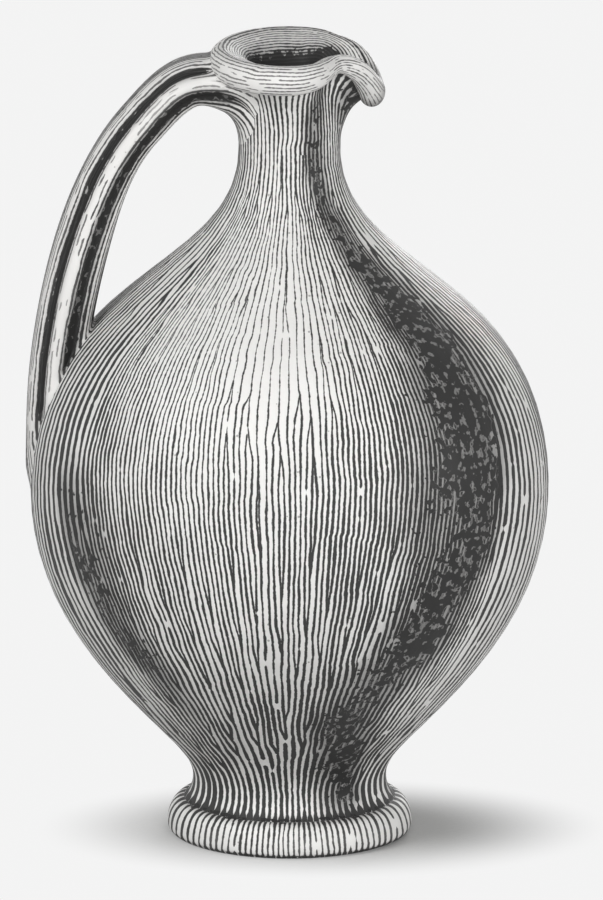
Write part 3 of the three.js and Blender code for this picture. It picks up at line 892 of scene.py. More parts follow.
def strap_line(samples=160):
    """The strap's middle line: cubic curves that join smoothly at the bend's points.

    The rate at a point is the slope before it plus the slope after it, less the slope over both,
    where steps count by the square roots of their lengths. Hands are a third of the rate.
    Returns a function of the share of its length that gives the point (x, z) and its direction,
    and the length.
    """
    shares = np.array([(0.0, 0.0), *HANDLE_BEND, (1.0, 1.0)])
    reach = -lerp(HANDLE_LEVEL_END, HANDLE_TAIL_REACH, shares[:, 0])
    level = lerp(HANDLE_TOP, HANDLE_TAIL_HEIGHT, shares[:, 1])
    knots = np.concatenate([[[-HANDLE_START, HANDLE_TOP]], np.stack([reach, level], 1)])
    posts = np.concatenate([[2 * knots[0] - knots[1]], knots, [2 * knots[-1] - knots[-2]]])
    step = np.linalg.norm(np.diff(posts, axis=0), axis=1)[:, None] ** 0.5
    slope = np.diff(posts, axis=0) / step
    rate = slope[:-1] - (posts[2:] - posts[:-2]) / (step[:-1] + step[1:]) + slope[1:]
    t = np.linspace(0, 1, samples)[1:]
    line = [knots[:1]]
    for index in range(len(knots) - 1):
        start, end = knots[index], knots[index + 1]
        leave, arrive = rate[index] * step[index + 1], rate[index + 1] * step[index + 1]
        line.append(curve(start, start + leave / 3, end - arrive / 3, end, t))
    line = np.concatenate(line)
    run = np.append(0, np.cumsum(np.linalg.norm(np.diff(line, axis=0), axis=1)))
    along = unit(np.gradient(line, run, axis=0))

    def at(share):
        """The point and direction at a share of the length, read off the line."""
        place_on = np.asarray(share) * run[-1]
        point = np.stack([np.interp(place_on, run, line[:, axis]) for axis in (0, 1)], -1)
        heading = np.stack([np.interp(place_on, run, along[:, axis]) for axis in (0, 1)], -1)
        return point, heading

    return at, run[-1]


STRAP_AT, STRAP_LENGTH = strap_line()


def from_side(angle):
    """The angle of a section counted from its nearer side, so that both halves are alike."""
    return np.where(np.cos(angle) < 0, np.pi - angle, angle)


def strap_section(angle, share):
    """The strap's section at a share of its length: across, outward and how deep it is cut.

    A superellipse, deeper inward at the root, with two grooves and two flank hollows, each a bell
    curve of the angle, that fade out at both ends.
    """
    root = ease(share / ROOT_TAPER_RUN)
    tail = ease((1 - share) / TAIL_TAPER_RUN)
    depth = lerp(STRAP_TOP_HALF_DEPTH, STRAP_HALF_DEPTH, ease(share / STRAP_DEPTH_RUN))
    thinning = TAIL_THINNING * (1 - ease((1 - share) / TAIL_THINNING_RUN))
    flare = ROOT_FLARE * np.maximum(0, 1 - share / ROOT_FLARE_RUN) ** 2
    grip = GRIP_HOLLOW * bell(share, GRIP_PLACE, GRIP_SPREAD)
    half_depth = np.where(np.sin(angle) > 0, depth - thinning, depth + flare - grip)
    half_width = STRAP_HALF_WIDTH * lerp(ROOT_TAPER, 1, root) * lerp(TAIL_TAPER, 1, tail)
    across_part = np.abs(np.cos(angle) / half_width) ** STRAP_SQUARENESS
    out_part = np.abs(np.sin(angle) / half_depth) ** STRAP_SQUARENESS
    side = from_side(angle)
    furrow = bell(side, GROOVE_ANGLE, GROOVE_SPREAD)
    flank = bell(side, FLANK_HOLLOW_ANGLE, FLANK_HOLLOW_SPREAD)
    cut = (GROOVE_DEPTH * furrow + FLANK_HOLLOW * flank) * root * tail
    reach = (across_part + out_part) ** (-1 / STRAP_SQUARENESS) - cut
    return reach * np.cos(angle), reach * np.sin(angle), cut


def strap_point(angle, share):
    """A point of the strap's skin: its section set square to the middle line."""
    middle, heading = STRAP_AT(share)
    across, outward, _ = strap_section(angle, share)
    x = middle[..., 0] + outward * heading[..., 1]
    z = middle[..., 1] - outward * heading[..., 0]
    return np.stack(np.broadcast_arrays(x, across, z), -1)


def turn_of(point):
    """The turn from the spout at which a point lies."""
    return np.arctan2(point[..., 1], point[..., 0])


def above_jug(point):
    """How far a point lies outside the jug's skin, along the radius."""
    return np.hypot(point[..., 0], point[..., 1]) - jug_radius(turn_of(point), point[..., 2])


def crossing(angle, shares):
    """For each angle, the first share where the strap leaves the jug, going through shares in order."""
    lift = above_jug(strap_point(angle[None, :], shares[:, None]))
    leaves = (lift[:-1] <= 0) & (lift[1:] > 0)
    step = np.argmax(leaves, axis=0)
    column = np.arange(len(angle))
    low, high = lift[step, column], lift[step + 1, column]
    part = np.clip(-low / (high - low), 0, 1)
    return lerp(shares[step], shares[step + 1], part)


def smooth_loop(values, spread):
    """A closed row of numbers, blurred by a bell curve of a spread in samples."""
    offset = np.arange(-3 * spread, 3 * spread + 1)
    weight = bell(offset, 0, spread)
    padded = np.concatenate([values[-3 * spread :], values, values[: 3 * spread]])
    return np.convolve(padded, weight / weight.sum(), mode="valid")


STRAP_SIDES = 320
STRAP_ANGLE = -np.pi / 2 + 2 * np.pi * np.arange(STRAP_SIDES) / STRAP_SIDES
# Shares of the strap's length that are searched for its two joints, from its ends inward
TOP_SEARCH = np.linspace(0.0, 0.3, 400)
TAIL_SEARCH = np.linspace(1.0, 0.4, 700)
TOP_JOINT = crossing(STRAP_ANGLE, TOP_SEARCH)
TAIL_JOINT = crossing(STRAP_ANGLE, TAIL_SEARCH)


def strap_strokes():
    """Stroke numbers round the strap: the girth of its middle section over the strokes' spacing."""
    round_strap = np.append(STRAP_ANGLE, STRAP_ANGLE[0] + 2 * np.pi)
    across, outward, _ = strap_section(round_strap, STRAP_COUNT_SHARE)
    girth = np.cumsum(np.hypot(np.diff(across), np.diff(outward)))
    strokes = round(girth[-1] / STRAP_STROKE_GAP)
    return np.append(0, girth / girth[-1])[None, :] * strokes


def strap_shade(angle, share):
    """Painted shade where the section is cut, wear on its reeds, and more painted shade on its flanks, back
    and underside.

    Wear and the painted shade on flanks, back and underside are bell curves and smooth steps of the angle.
    """
    _, _, cut = strap_section(angle, share)
    side = from_side(angle)
    hollow_shade = np.clip(GROOVE_SHADE * cut / GROOVE_DEPTH, 0, 1)
    wear = REED_WEAR * bell(side, REED_ANGLE, REED_SPREAD)
    wear = wear + SIDE_REED_WEAR * bell(side, SIDE_REED_ANGLE, SIDE_REED_SPREAD)
    flank = STRAP_SHADE + FLANK_SHADE * bell(side, FLANK_SHADE_ANGLE, FLANK_SHADE_SPREAD)
    back = BACK_SHADE * ease((side - BACK_SHADE_ANGLE) / BACK_SHADE_RUN)
    underside = ease((UNDER_SHADE_ANGLE - side) / UNDER_SHADE_RUN)
    return hollow_shade, wear, np.maximum(flank, np.maximum(back, underside))


def strap_finish(hollow_shade, wear, shaded, fading=np.zeros((1, 1))):
    """The vertex fields of a piece that has the strap's strokes, finer as they fade and wider in painted
    shade.
    """
    finer = 1 - STRAP_STROKE_FADING * fading
    return {
        "stroke_gap": np.full((1, 1), STRAP_STROKE_GAP),
        "stroke_doublings": np.zeros((1, 1)),
        "stroke_width": STRAP_STROKE_WIDTH * finer * (1 + STRAP_STROKE_SHADING * shaded**2),
        "burnish": np.ones((1, 1)),
        "hollow_shade": hollow_shade,
        "wear": wear,
        "painted_shade": shaded,
    }


def handle_strap(rows=300):
    """The strap between its two joints: each line of the skin runs up from the tail to the mouth.

    Fans to a point sunk into the jug close both ends.
    """
    share = lerp(TAIL_JOINT, TOP_JOINT, np.linspace(0, 1, rows)[:, None])
    angle = STRAP_ANGLE[None, :]
    points = strap_point(angle, share)
    wide_share = np.concatenate([share, share[:, :1]], 1)
    fields = strap_finish(*strap_shade(angle, share))
    tail_tip, top_tip = (drop_to_jug(points[row].mean(0), -STRAP_END_DEPTH) for row in (0, -1))
    tips = ((0, tail_tip, True), (rows - 1, top_tip, False))
    uv = corner_uv(strap_strokes(), -wide_share * STRAP_LENGTH)
    return make_piece("handle_strap_pulled", points, uv, fields, tips=tips)


def jug_normal(point, step=0.05):
    """Outward normal of the jug's skin below a point, from how above_jug changes by a small step."""
    change = [above_jug(point + step * axis) - above_jug(point - step * axis) for axis in np.eye(3)]
    return unit(np.stack(change, -1))


def strap_directions(angle, share, away, run=0.2, turn=0.01):
    """Directions on the strap's skin at a share: along it, away from the joint, and outward.

    They come from a short run along the strap and a small turn about it.
    """
    point = strap_point(angle, share)
    along = unit(strap_point(angle, share + run / STRAP_LENGTH * away) - point)
    beside = strap_point(angle + turn, share) - strap_point(angle - turn, share)
    return along, unit(np.cross(along, beside)) * away


def drop_to_jug(point, lift):
    """The point moved along its radius to a small lift above the jug's skin."""
    turn = turn_of(point)
    radius = jug_radius(turn, point[..., 2]) + lift
    return np.stack([radius * np.cos(turn), radius * np.sin(turn), point[..., 2]], -1)


def on_wall(vector, normal):
    """The share of a vector that lies along a wall: the vector less its part along the normal."""
    return vector - (vector * normal).sum(-1, keepdims=True) * normal


def smeared_slip(name, joint, away, up_strap, out_on_jug, sag=np.zeros(STRAP_SIDES), rows=28):
    """Slip smeared into the corner between the strap and the jug, all round a joint.

    For each angle a cubic curve leaves the strap along its skin and lands along the jug's skin, led
    downward by sag. A point sunk into both closes the section. Strokes and shade go over from the
    strap's to the jug's.
    """
    angle = STRAP_ANGLE
    corner = strap_point(angle, joint)
    start_share = joint + up_strap / STRAP_LENGTH * away
    along_strap, strap_normal = strap_directions(angle, start_share, away)
    wall_normal = jug_normal(corner)
    down = unit(on_wall(np.array([0.0, 0.0, -1.0]), wall_normal))
    outward = unit(on_wall(strap_normal, wall_normal)) + sag[:, None] * down
    outward = unit(np.stack([smooth_loop(outward[:, axis], SMEAR_SMOOTHING) for axis in range(3)], -1))
    start = strap_point(angle, start_share) + SMEAR_LIFT * strap_normal
    land = drop_to_jug(corner + outward * out_on_jug[:, None], -SMEAR_EDGE_DEPTH)
    from_strap = start - along_strap * (SMEAR_HOLD * up_strap)[:, None]
    to_jug = land - unit(land - corner) * (SMEAR_HOLD * out_on_jug)[:, None]
    t = np.broadcast_to(np.linspace(0, 1, rows)[:, None], (rows, len(angle)))
    skin = curve(start, from_strap, to_jug, land, t)
    sunk = corner - SMEAR_JUG_DEPTH * wall_normal - SMEAR_STRAP_DEPTH * strap_normal
    points = np.concatenate([skin, sunk[None]])
    hollow_shade, wear, shaded = strap_shade(angle, start_share)
    jug_shade = painted_shade(turn_of(land), land[:, 2])
    over = np.append(np.linspace(0, 1, rows), 1.0)[:, None]
    left = np.append(start_share, start_share[0]) * STRAP_LENGTH
    reach = np.append(up_strap + out_on_jug, up_strap[0] + out_on_jug[0])
    along = away * np.append(over, [[SMEAR_SUNK_PLACE]], 0) * reach - left
    left_over = 1 - ease(over)
    shade = [hollow_shade * left_over, wear * left_over, lerp(shaded, jug_shade, over), ease(2 * over - 1)]
    if away < 0:
        points, along = points[::-1], along[::-1]
        shade = [field[::-1] for field in shade]
    return make_piece(name, points, corner_uv(strap_strokes(), along), strap_finish(*shade), True)


def handle_top_slip():
    """The smear at the mouth: broad under the strap and down the neck, narrow along the lip."""
    over = ease((np.sin(STRAP_ANGLE) - TOP_SMEAR_START) / TOP_SMEAR_RUN)
    up_strap, out_on_jug = lerp(*TOP_SMEAR_UP, over), lerp(*TOP_SMEAR_OUT, over)
    joint = smooth_loop(TOP_JOINT, TOP_JOINT_SMOOTHING)
    sag = TOP_SMEAR_SAG * (1 - over)
    return smeared_slip("handle_top_slip_smeared", joint, 1.0, up_strap, out_on_jug, sag)


def handle_root_slip():
    """The smear at the belly: narrow in the corner, long where the strap's back runs out."""
    back = ease((np.sin(STRAP_ANGLE) - ROOT_SMEAR_START) / ROOT_SMEAR_RUN)
    up_strap, out_on_jug = lerp(*ROOT_SMEAR_UP, back), lerp(*ROOT_SMEAR_OUT, back)
    return smeared_slip("handle_root_slip_smeared", TAIL_JOINT, -1.0, up_strap, out_on_jug)


# Finishes

# Strokes of an order fork off while Doublings passes from start to end below that order, and the
# places where they do so are shifted up and down by half of the shift
GOLDEN_SHARE = 0.618034
FORK_START = 0.62
FORK_END = 0.38
FORK_SHIFT = 0.7
FORK_SIDE_PACE = 2.4
# How far strokes waver, jog aside while a noise passes a range, and are ragged and soft at their edges
STROKE_WAVER = 1.1
STROKE_JOG = 0.16
STROKE_JOG_RANGE = (0.46, 0.54)
STROKE_RAGGEDNESS = 0.44
STROKE_SOFTNESS = 0.1
# How strokes swell, least and more, and how wear breaks them
STROKE_LEAST_SWELL = 0.4
STROKE_SWELL = 1.2
STROKE_BREAKING = 0.35
# Strokes come in over ranges of the noise that breaks them, of their forking and of their width
UNBROKEN_RANGE = (0.1, 0.2)
FORKED_RANGE = (0.0, 0.2)
WIDTH_RANGE = (0.04, 0.2)
# Rows of noise that strokes take by their number and order, for swelling and for breaking
SWELL_ROW_STEP = 3.71
SWELL_ORDER_STEP = 57.0
BREAK_ROW_STEP = 9.13
BREAK_ROW_START = 40.0
BREAK_ORDER_STEP = 83.0
# Scales of noise: across space by the metre, and along strokes by the millimetre
WAVER_SCALE = 95.0
JOG_SCALE = 60.0
RAGGED_SCALE = 900.0
SWELL_SCALE = 0.06
BREAK_SCALE = 0.16
MOTTLE_SCALE = 26.0
GRAIN_SCALE = 1100.0
SPECK_SCALE = 330.0
DRIFT_SCALE = 34.0
FLECK_SCALE = 420.0
# Cells hold a speck where their shade lies in a range. The largest specks have this size, as a share
# of a cell, a share of each is fully dark, and the least fade out over a range of the size
SPECK_SHADE_RANGE = (0.55, 1.0)
SPECK_SIZE = 0.16
SPECK_DARK_SHARE = 0.6
SPECK_LEAST_RANGE = (0.0, 0.03)
# How far noise moves the painted shade and its thickest part, and how hollows and that part add to its dark
# blots
SHADE_DRIFT = 0.6
CORE_RAGGEDNESS = 0.5
HOLLOW_BLOTS = 1.35
CORE_BLOTS = 0.1
BLOT_THICKNESS = 0.6
# Ranges over which the veil, the thickest part and the blots come in
CLOUD_RANGE = (0.4, 0.95)
CORE_RANGE = (0.86, 0.93)
BLOT_RANGE = (1.08, 1.14)
# Tones of the clay, its mottle, its inside, its painted shade, specks, painted shade in hollows and dark
# strokes, how warm they are, and the ranges of the mottle over which its tone and the wear come in
BODY_TONE = 0.9
HANDLE_TONE = 0.88
SLIP_TONE = 0.89
MOTTLE_SHARE = 0.9
MOTTLE_RANGE = (0.3, 0.75)
WORN_MOTTLE_RANGE = (0.35, 0.65)
INSIDE_SHARE = 0.55
CLOUD_TONE = 0.22
CORE_TONE = 0.18
SPECK_TONE = 0.12
HOLLOW_TONE = 0.03
DARK_TONE = 0.018
WARMTH = 0.012
BARE_WARMTH = 0.03
BLUE_LOSS = 1.6
# Roughness and gloss, and relief in millimetres
ROUGHNESS = 0.46
STROKE_ROUGHNESS = 0.16
INSIDE_ROUGHNESS = 0.28
GRAIN_ROUGHNESS = 0.2
GLOSS = 0.24
GRAIN_RELIEF = 0.05
STROKE_RELIEF = -0.06
SPECK_RELIEF = -0.08


class Nodes:
    """Adds nodes to a tree. A value that is a socket gets linked, and any other value is set."""

    def __init__(self, tree):
        self.tree = tree

    def add(self, kind, inputs=(), out=0, **settings):
        """A node with its inputs and settings: one of its outputs."""
        node = self.tree.nodes.new(kind)
        for key, value in settings.items():
            setattr(node, key, value)
        for key, value in dict(inputs).items():
            self.join(value, node.inputs[key])
        return node.outputs[out]

    def join(self, value, socket):
        """Links a socket to another, or sets its value."""
        if isinstance(value, bpy.types.NodeSocket):
            self.tree.links.new(value, socket)
        else:
            socket.default_value = value

    def math(self, operation, *values):
        """The result of an operation on values."""
        return self.add("ShaderNodeMath", enumerate(values), operation=operation)

    def opposite(self, share):
        """One less a share."""
        return self.math("SUBTRACT", 1.0, share)

    def noise(self, vector, scale, detail=0.0, dimensions="3D"):
        """Noise about a half, of a scale and detail."""
        inputs = {"Vector": vector, "Scale": scale, "Detail": detail}
        return self.add("ShaderNodeTexNoise", inputs, noise_dimensions=dimensions)

    def pair(self, x, y):
        """A vector of two values."""
        return self.add("ShaderNodeCombineXYZ", {"X": x, "Y": y})

    def smooth(self, value, low, high, to_low=0.0, to_high=1.0):
        """A smooth step from to_low to to_high while the value goes from low to high."""
        inputs = {"Value": value, "From Min": low, "From Max": high, "To Min": to_low, "To Max": to_high}
        return self.add("ShaderNodeMapRange", inputs, interpolation_type="SMOOTHSTEP")

    def mix(self, share, first, second):
        """Two colours mixed by a share of the second."""
        node = self.tree.nodes.new("ShaderNodeMix")
        node.data_type = "RGBA"
        by_name = {socket.identifier: socket for socket in node.inputs}
        self.join(share, by_name["Factor_Float"])
        self.join(first, by_name["A_Color"])
        self.join(second, by_name["B_Color"])
        return next(socket for socket in node.outputs if socket.identifier == "Result_Color")

    def field(self, name):
        """A vertex field of the piece."""
        return self.add("ShaderNodeAttribute", out="Fac", attribute_name=name)

    def group(self, tree, inputs):
        """A node group with its inputs: all its outputs."""
        node = self.tree.nodes.new("ShaderNodeGroup")
        node.node_tree = tree
        for key, value in inputs.items():
            self.join(value, node.inputs[key])
        return node.outputs


def new_group(name, inputs, outputs):
    """A shader node group with named sockets: the tree's Nodes, its input sockets and its output node's."""
    tree = bpy.data.node_groups.new(name, "ShaderNodeTree")
    for label in inputs:
        kind = "NodeSocketVector" if label == "Place" else "NodeSocketFloat"
        tree.interface.new_socket(label, in_out="INPUT", socket_type=kind)
    for label in outputs:
        tree.interface.new_socket(label, in_out="OUTPUT", socket_type="NodeSocketFloat")
    entry = tree.nodes.new("NodeGroupInput")
    leave = tree.nodes.new("NodeGroupOutput")
    return Nodes(tree), entry.outputs, leave.inputs


def forked_off(n, given, number, order):
    """How far a numbered stroke of an order has forked off, from 0 to 1, at a place.

    It starts where Doublings, shifted stroke by stroke, gets near its order. The shifts are
    fractions of the stroke's number times the golden ratio, which are spread evenly.
    """
    shift = n.math("FRACT", n.math("MULTIPLY", number, GOLDEN_SHARE))
    here = n.math("ADD", given["Doublings"], n.math("MULTIPLY_ADD", shift, FORK_SHIFT, -FORK_SHIFT / 2))
    return n.smooth(here, order - FORK_START, order - FORK_END)


def make_room(n, given, stroke, gap, order):
    """Stroke numbers and their spacing, changed so that strokes give way to those that fork off.

    The line between two cells moves by a sixth of the difference in how far theirs have forked
    off. Cells with a new stroke get twice as wide as cells without one, so the spacing stays even.
    """
    fold = 2.0 ** (order - 1)
    cell = n.math("MULTIPLY", stroke, fold)
    number = n.math("FLOOR", cell)
    before, here, after = (
        forked_off(n, given, n.math("ADD", number, step), order) for step in (-1.0, 0.0, 1.0)
    )
    near = n.math("DIVIDE", n.math("SUBTRACT", before, here), 6.0)
    far = n.math("DIVIDE", n.math("SUBTRACT", here, after), 6.0)
    spread = n.math("SUBTRACT", far, near)
    shift = n.math("MULTIPLY_ADD", spread, n.math("SUBTRACT", cell, number), near)
    moved = n.math("DIVIDE", n.math("SUBTRACT", cell, shift), fold)
    return moved, n.math("DIVIDE", gap, n.opposite(spread))


def stroke_family(n, given, stroke, gap, order):
    """Share of a stroke of one order at a place.

    Order 0 are the long strokes, and each further order lies halfway between those before it. Its
    strokes fork off a stroke beside them and swing into the middle. Each has noise of its own, at
    places that its number gives.
    """
    fold = 2.0 ** max(order - 1, 0)
    cell = n.math("MULTIPLY", stroke, fold)
    if order == 0:
        number = n.math("ROUND", cell)
        aside = n.math("ABSOLUTE", n.math("SUBTRACT", cell, number))
        drawn = 1.0
    else:
        number = n.math("FLOOR", cell)
        drawn = forked_off(n, given, number, order)
        side = n.math("SIGN", n.math("SINE", n.math("MULTIPLY", number, FORK_SIDE_PACE)))
        fork = n.math("MULTIPLY", side, n.opposite(drawn))
        middle = n.math("MULTIPLY_ADD", fork, 0.5, 0.5)
        aside = n.math("ABSOLUTE", n.math("SUBTRACT", n.math("SUBTRACT", cell, number), middle))
    uneven = n.noise(given["Place"], RAGGED_SCALE, 2.0)
    ragged = n.math("MULTIPLY_ADD", uneven, STROKE_RAGGEDNESS, -STROKE_RAGGEDNESS / 2)
    away = n.math("ADD", n.math("MULTIPLY", aside, n.math("DIVIDE", gap, fold)), ragged)
    swell_row = n.math("MULTIPLY_ADD", number, SWELL_ROW_STEP, SWELL_ORDER_STEP * order)
    swell = n.noise(n.pair(swell_row, n.math("MULTIPLY", given["Along"], SWELL_SCALE)), 1.0, 2.0, "2D")
    break_start = BREAK_ROW_START + BREAK_ORDER_STEP * order
    break_row = n.math("MULTIPLY_ADD", number, BREAK_ROW_STEP, break_start)
    unbroken = n.noise(n.pair(break_row, n.math("MULTIPLY", given["Along"], BREAK_SCALE)), 1.0, 0.0, "2D")
    held = n.math("MULTIPLY_ADD", given["Wear"], -STROKE_BREAKING, unbroken)
    swollen = n.math("MULTIPLY_ADD", swell, STROKE_SWELL, STROKE_LEAST_SWELL)
    thickness = n.math("MULTIPLY", given["Width"], swollen)
    present = n.math("MULTIPLY", n.smooth(held, *UNBROKEN_RANGE), n.smooth(drawn, *FORKED_RANGE))
    width = n.math("MULTIPLY", thickness, present)
    half = n.math("MULTIPLY", width, 0.5)
    inner, outer = n.math("SUBTRACT", half, STROKE_SOFTNESS), n.math("ADD", half, STROKE_SOFTNESS)
    edge = n.smooth(away, inner, outer, 1.0, 0.0)
    return n.math("MULTIPLY", edge, n.smooth(width, *WIDTH_RANGE))


def burnish_strokes():
    """Lines along the numbered long strokes and, by Doublings, between them.

    Line is 1 on a stroke. Strokes waver, jog and swell by noise, and break up where Wear is high.
    """
    labels = ("Stroke", "Along", "Gap", "Doublings", "Width", "Wear", "Place")
    n, given, result = new_group("burnish_strokes", labels, ("Line",))
    waver = n.math("SUBTRACT", n.noise(given["Place"], WAVER_SCALE, 2.0), 0.5)
    jog = n.smooth(n.noise(given["Place"], JOG_SCALE), *STROKE_JOG_RANGE, -STROKE_JOG, STROKE_JOG)
    wander = n.math("MULTIPLY_ADD", waver, STROKE_WAVER, jog)
    stroke = n.math("ADD", given["Stroke"], n.math("DIVIDE", wander, given["Gap"]))
    gap = given["Gap"]
    for order in (1, 2):
        stroke, gap = make_room(n, given, stroke, gap, order)
    long_ones, doubled, redoubled = (stroke_family(n, given, stroke, gap, order) for order in (0, 1, 2))
    n.join(n.math("MAXIMUM", n.math("MAXIMUM", long_ones, doubled), redoubled), result["Line"])
    return n.tree


def fired_clay():
    """Mottle, fine grain and dark specks of a fired clay, from noise and cells of Place."""
    n, given, result = new_group("fired_clay", ("Place",), ("Mottle", "Grain", "Speck"))
    n.join(n.noise(given["Place"], MOTTLE_SCALE, 5.0), result["Mottle"])
    n.join(n.noise(given["Place"], GRAIN_SCALE, 3.0), result["Grain"])
    cells = n.tree.nodes.new("ShaderNodeTexVoronoi")
    n.join(given["Place"], cells.inputs["Vector"])
    n.join(SPECK_SCALE, cells.inputs["Scale"])
    shade = n.add("ShaderNodeSeparateColor", {"Color": cells.outputs["Color"]})
    size = n.math("MULTIPLY", n.smooth(shade, *SPECK_SHADE_RANGE), SPECK_SIZE)
    dark = n.math("MULTIPLY", size, SPECK_DARK_SHARE)
    speck = n.smooth(cells.outputs["Distance"], dark, size, 1.0, 0.0)
    n.join(n.math("MULTIPLY", speck, n.smooth(size, *SPECK_LEAST_RANGE)), result["Speck"])
    return n.tree


def shade_clouds():
    """Painted shade from the shade field and from hollows, broken up by noise.

    All three outputs are painted shade. Cloud is a soft veil, the second the ragged dark blots in it, and
    Core the thickest of it, where blots hide the strokes.
    """
    n, given, result = new_group("shade_clouds", ("Painted Shade", "Hollow Shade", "Place"), ("Cloud", "Shade Blots", "Core"))
    drift = n.math("SUBTRACT", n.noise(given["Place"], DRIFT_SCALE, 4.0), 0.5)
    uneven = n.math("MULTIPLY_ADD", drift, SHADE_DRIFT, given["Painted Shade"])
    n.join(n.smooth(uneven, *CLOUD_RANGE), result["Cloud"])
    thick = n.math("MAXIMUM", uneven, n.math("MULTIPLY", given["Hollow Shade"], HOLLOW_BLOTS))
    flecks = n.noise(given["Place"], FLECK_SCALE, 2.0)
    ragged = n.math("MULTIPLY_ADD", n.math("SUBTRACT", flecks, 0.5), CORE_RAGGEDNESS, uneven)
    core = n.smooth(ragged, *CORE_RANGE)
    n.join(core, result["Core"])
    blots = n.math("MULTIPLY_ADD", core, CORE_BLOTS, flecks)
    blotted = n.math("MULTIPLY_ADD", thick, BLOT_THICKNESS, blots)
    n.join(n.smooth(blotted, *BLOT_RANGE), result["Shade Blots"])
    return n.tree


STROKES, CLAY, SHADING = burnish_strokes(), fired_clay(), shade_clouds()


def grey(level, warmth=WARMTH):
    """A grey of a level, with a little more red and less blue by its warmth."""
    return (level * (1 + warmth), level, level * (1 - BLUE_LOSS * warmth), 1.0)


def burnished_finish(name, pale):
    """A pale clay burnished in strokes: pale and mottled, with shade painted in places, dark along the
    strokes.

    Its colour is laid on in layers, each mixed over those below it by a mask times a strength.
    """
    material = bpy.data.materials.new(name)
    material.use_nodes = True
    n = Nodes(material.node_tree)
    shader = material.node_tree.nodes["Principled BSDF"]
    point = n.add("ShaderNodeTexCoord", out="Object")
    uv = material.node_tree.nodes.new("ShaderNodeSeparateXYZ")
    n.join(n.add("ShaderNodeUVMap", uv_map="strokes"), uv.inputs["Vector"])
    burnish, hollow_shade, wear = n.field("burnish"), n.field("hollow_shade"), n.field("wear")
    inside = n.opposite(burnish)
    clay = n.group(CLAY, {"Place": point})
    shaded = n.group(SHADING, {"Painted Shade": n.field("painted_shade"), "Hollow Shade": hollow_shade, "Place": point})
    stroke_inputs = {
        "Stroke": uv.outputs["X"],
        "Along": uv.outputs["Y"],
        "Gap": n.field("stroke_gap"),
        "Doublings": n.field("stroke_doublings"),
        # Strokes widen in the painted shade of hollows
        "Width": n.math("MULTIPLY", n.math("ADD", hollow_shade, 1.0), n.field("stroke_width")),
        "Wear": wear,
        "Place": point,
    }
    bare = n.math("MULTIPLY", burnish, n.opposite(shaded["Core"]))
    line = n.math("MULTIPLY", n.group(STROKES, stroke_inputs)["Line"], bare)
    worn = n.math("MULTIPLY", wear, n.smooth(clay["Mottle"], *WORN_MOTTLE_RANGE))
    # Cloud, Core, the hollow layer and the blots lay painted shade into the colour
    layers = (
        (inside, 0.5, grey(pale * INSIDE_SHARE, BARE_WARMTH)),
        (shaded["Cloud"], 0.85, grey(CLOUD_TONE)),
        (shaded["Core"], 0.8, grey(CORE_TONE)),
        (clay["Speck"], 0.55, grey(SPECK_TONE, BARE_WARMTH)),
        (line, 0.97, grey(DARK_TONE)),
        (hollow_shade, 0.5, grey(HOLLOW_TONE)),
        (shaded["Shade Blots"], 0.97, grey(DARK_TONE)),
        (worn, 0.35, grey(pale)),
    )
    colour = n.mix(n.smooth(clay["Mottle"], *MOTTLE_RANGE), grey(pale), grey(pale * MOTTLE_SHARE))
    for mask, strength, tone in layers:
        colour = n.mix(n.math("MULTIPLY", mask, strength), colour, tone)
    n.join(colour, shader.inputs["Base Color"])
    rough = n.math("MULTIPLY_ADD", line, STROKE_ROUGHNESS, ROUGHNESS)
    rough = n.math("MULTIPLY_ADD", inside, INSIDE_ROUGHNESS, rough)
    rough = n.math("MULTIPLY_ADD", n.math("SUBTRACT", clay["Grain"], 0.5), GRAIN_ROUGHNESS, rough)
    n.join(rough, shader.inputs["Roughness"])
    height = n.math("MULTIPLY", clay["Grain"], GRAIN_RELIEF)
    height = n.math("MULTIPLY_ADD", line, STROKE_RELIEF, height)
    height = n.math("MULTIPLY_ADD", clay["Speck"], SPECK_RELIEF, height)
    bump = n.add("ShaderNodeBump", {"Height": height, "Distance": MM, "Strength": 1.0})
    n.join(bump, shader.inputs["Normal"])
    n.join(GLOSS, shader.inputs["Specular IOR Level"])
    return material


body_finish = burnished_finish("burnished_body", BODY_TONE)
handle_finish = burnished_finish("burnished_handle", HANDLE_TONE)
slip_finish = burnished_finish("wiped_slip", SLIP_TONE)

place(foot_ring(), "foot_ring", body_finish)
place(foot_slip(), "foot_slip", slip_finish)
place(lower_body(), "lower_body", body_finish)
place(seam_slip("belly_slip_wiped", BELLY_SEAM), "belly_slip", slip_finish)
upper_body = thrown_section("upper_body_thrown", BELLY_SEAM + SLIP_THICKNESS, NECK_SEAM)
place(upper_body, "upper_body", body_finish)
place(seam_slip("neck_slip_wiped", NECK_SEAM), "neck_slip", slip_finish)
neck = thrown_section("neck_thrown", NECK_SEAM + SLIP_THICKNESS, NECK_HEIGHT)
place(neck, "neck", body_finish)
place(seam_slip("collar_slip_wiped", NECK_HEIGHT), "collar_slip", slip_finish)
place(spout_collar(), "spout_collar", body_finish)
place(handle_strap(), "handle_strap", handle_finish)
place(handle_top_slip(), "handle_top_slip", slip_finish)
place(handle_root_slip(), "handle_root_slip", slip_finish)


# Floor, light and camera: sizes are metres here, and angles are degrees

WHITE = (1, 1, 1, 1)
BACKGROUND = 0.9
WORLD_LEVEL = 0.1
FLOOR_HALF_WIDTH = 12.0
FLOOR_DARK = (0.57, 0.57, 0.56, 1)
FLOOR_PALE = (0.63, 0.63, 0.62, 1)
FLOOR_BOUNCE = (0.3, 0.3, 0.3, 1)
FLOOR_ROUGHNESS = 0.9
FLOOR_SPECKLE_SCALE = 600.0
# The floor shows the shadow near this place, and goes over to an even tone between two distances
SHADOW_MIDDLE = (0.01, 0.0, 0.0)
SHADOW_SQUEEZE = (1.0, 1.5, 1.0)
SHADOW_NEAR = 0.03
SHADOW_FAR = 0.088
LAMP_TARGET = (0, 0, 0.12)
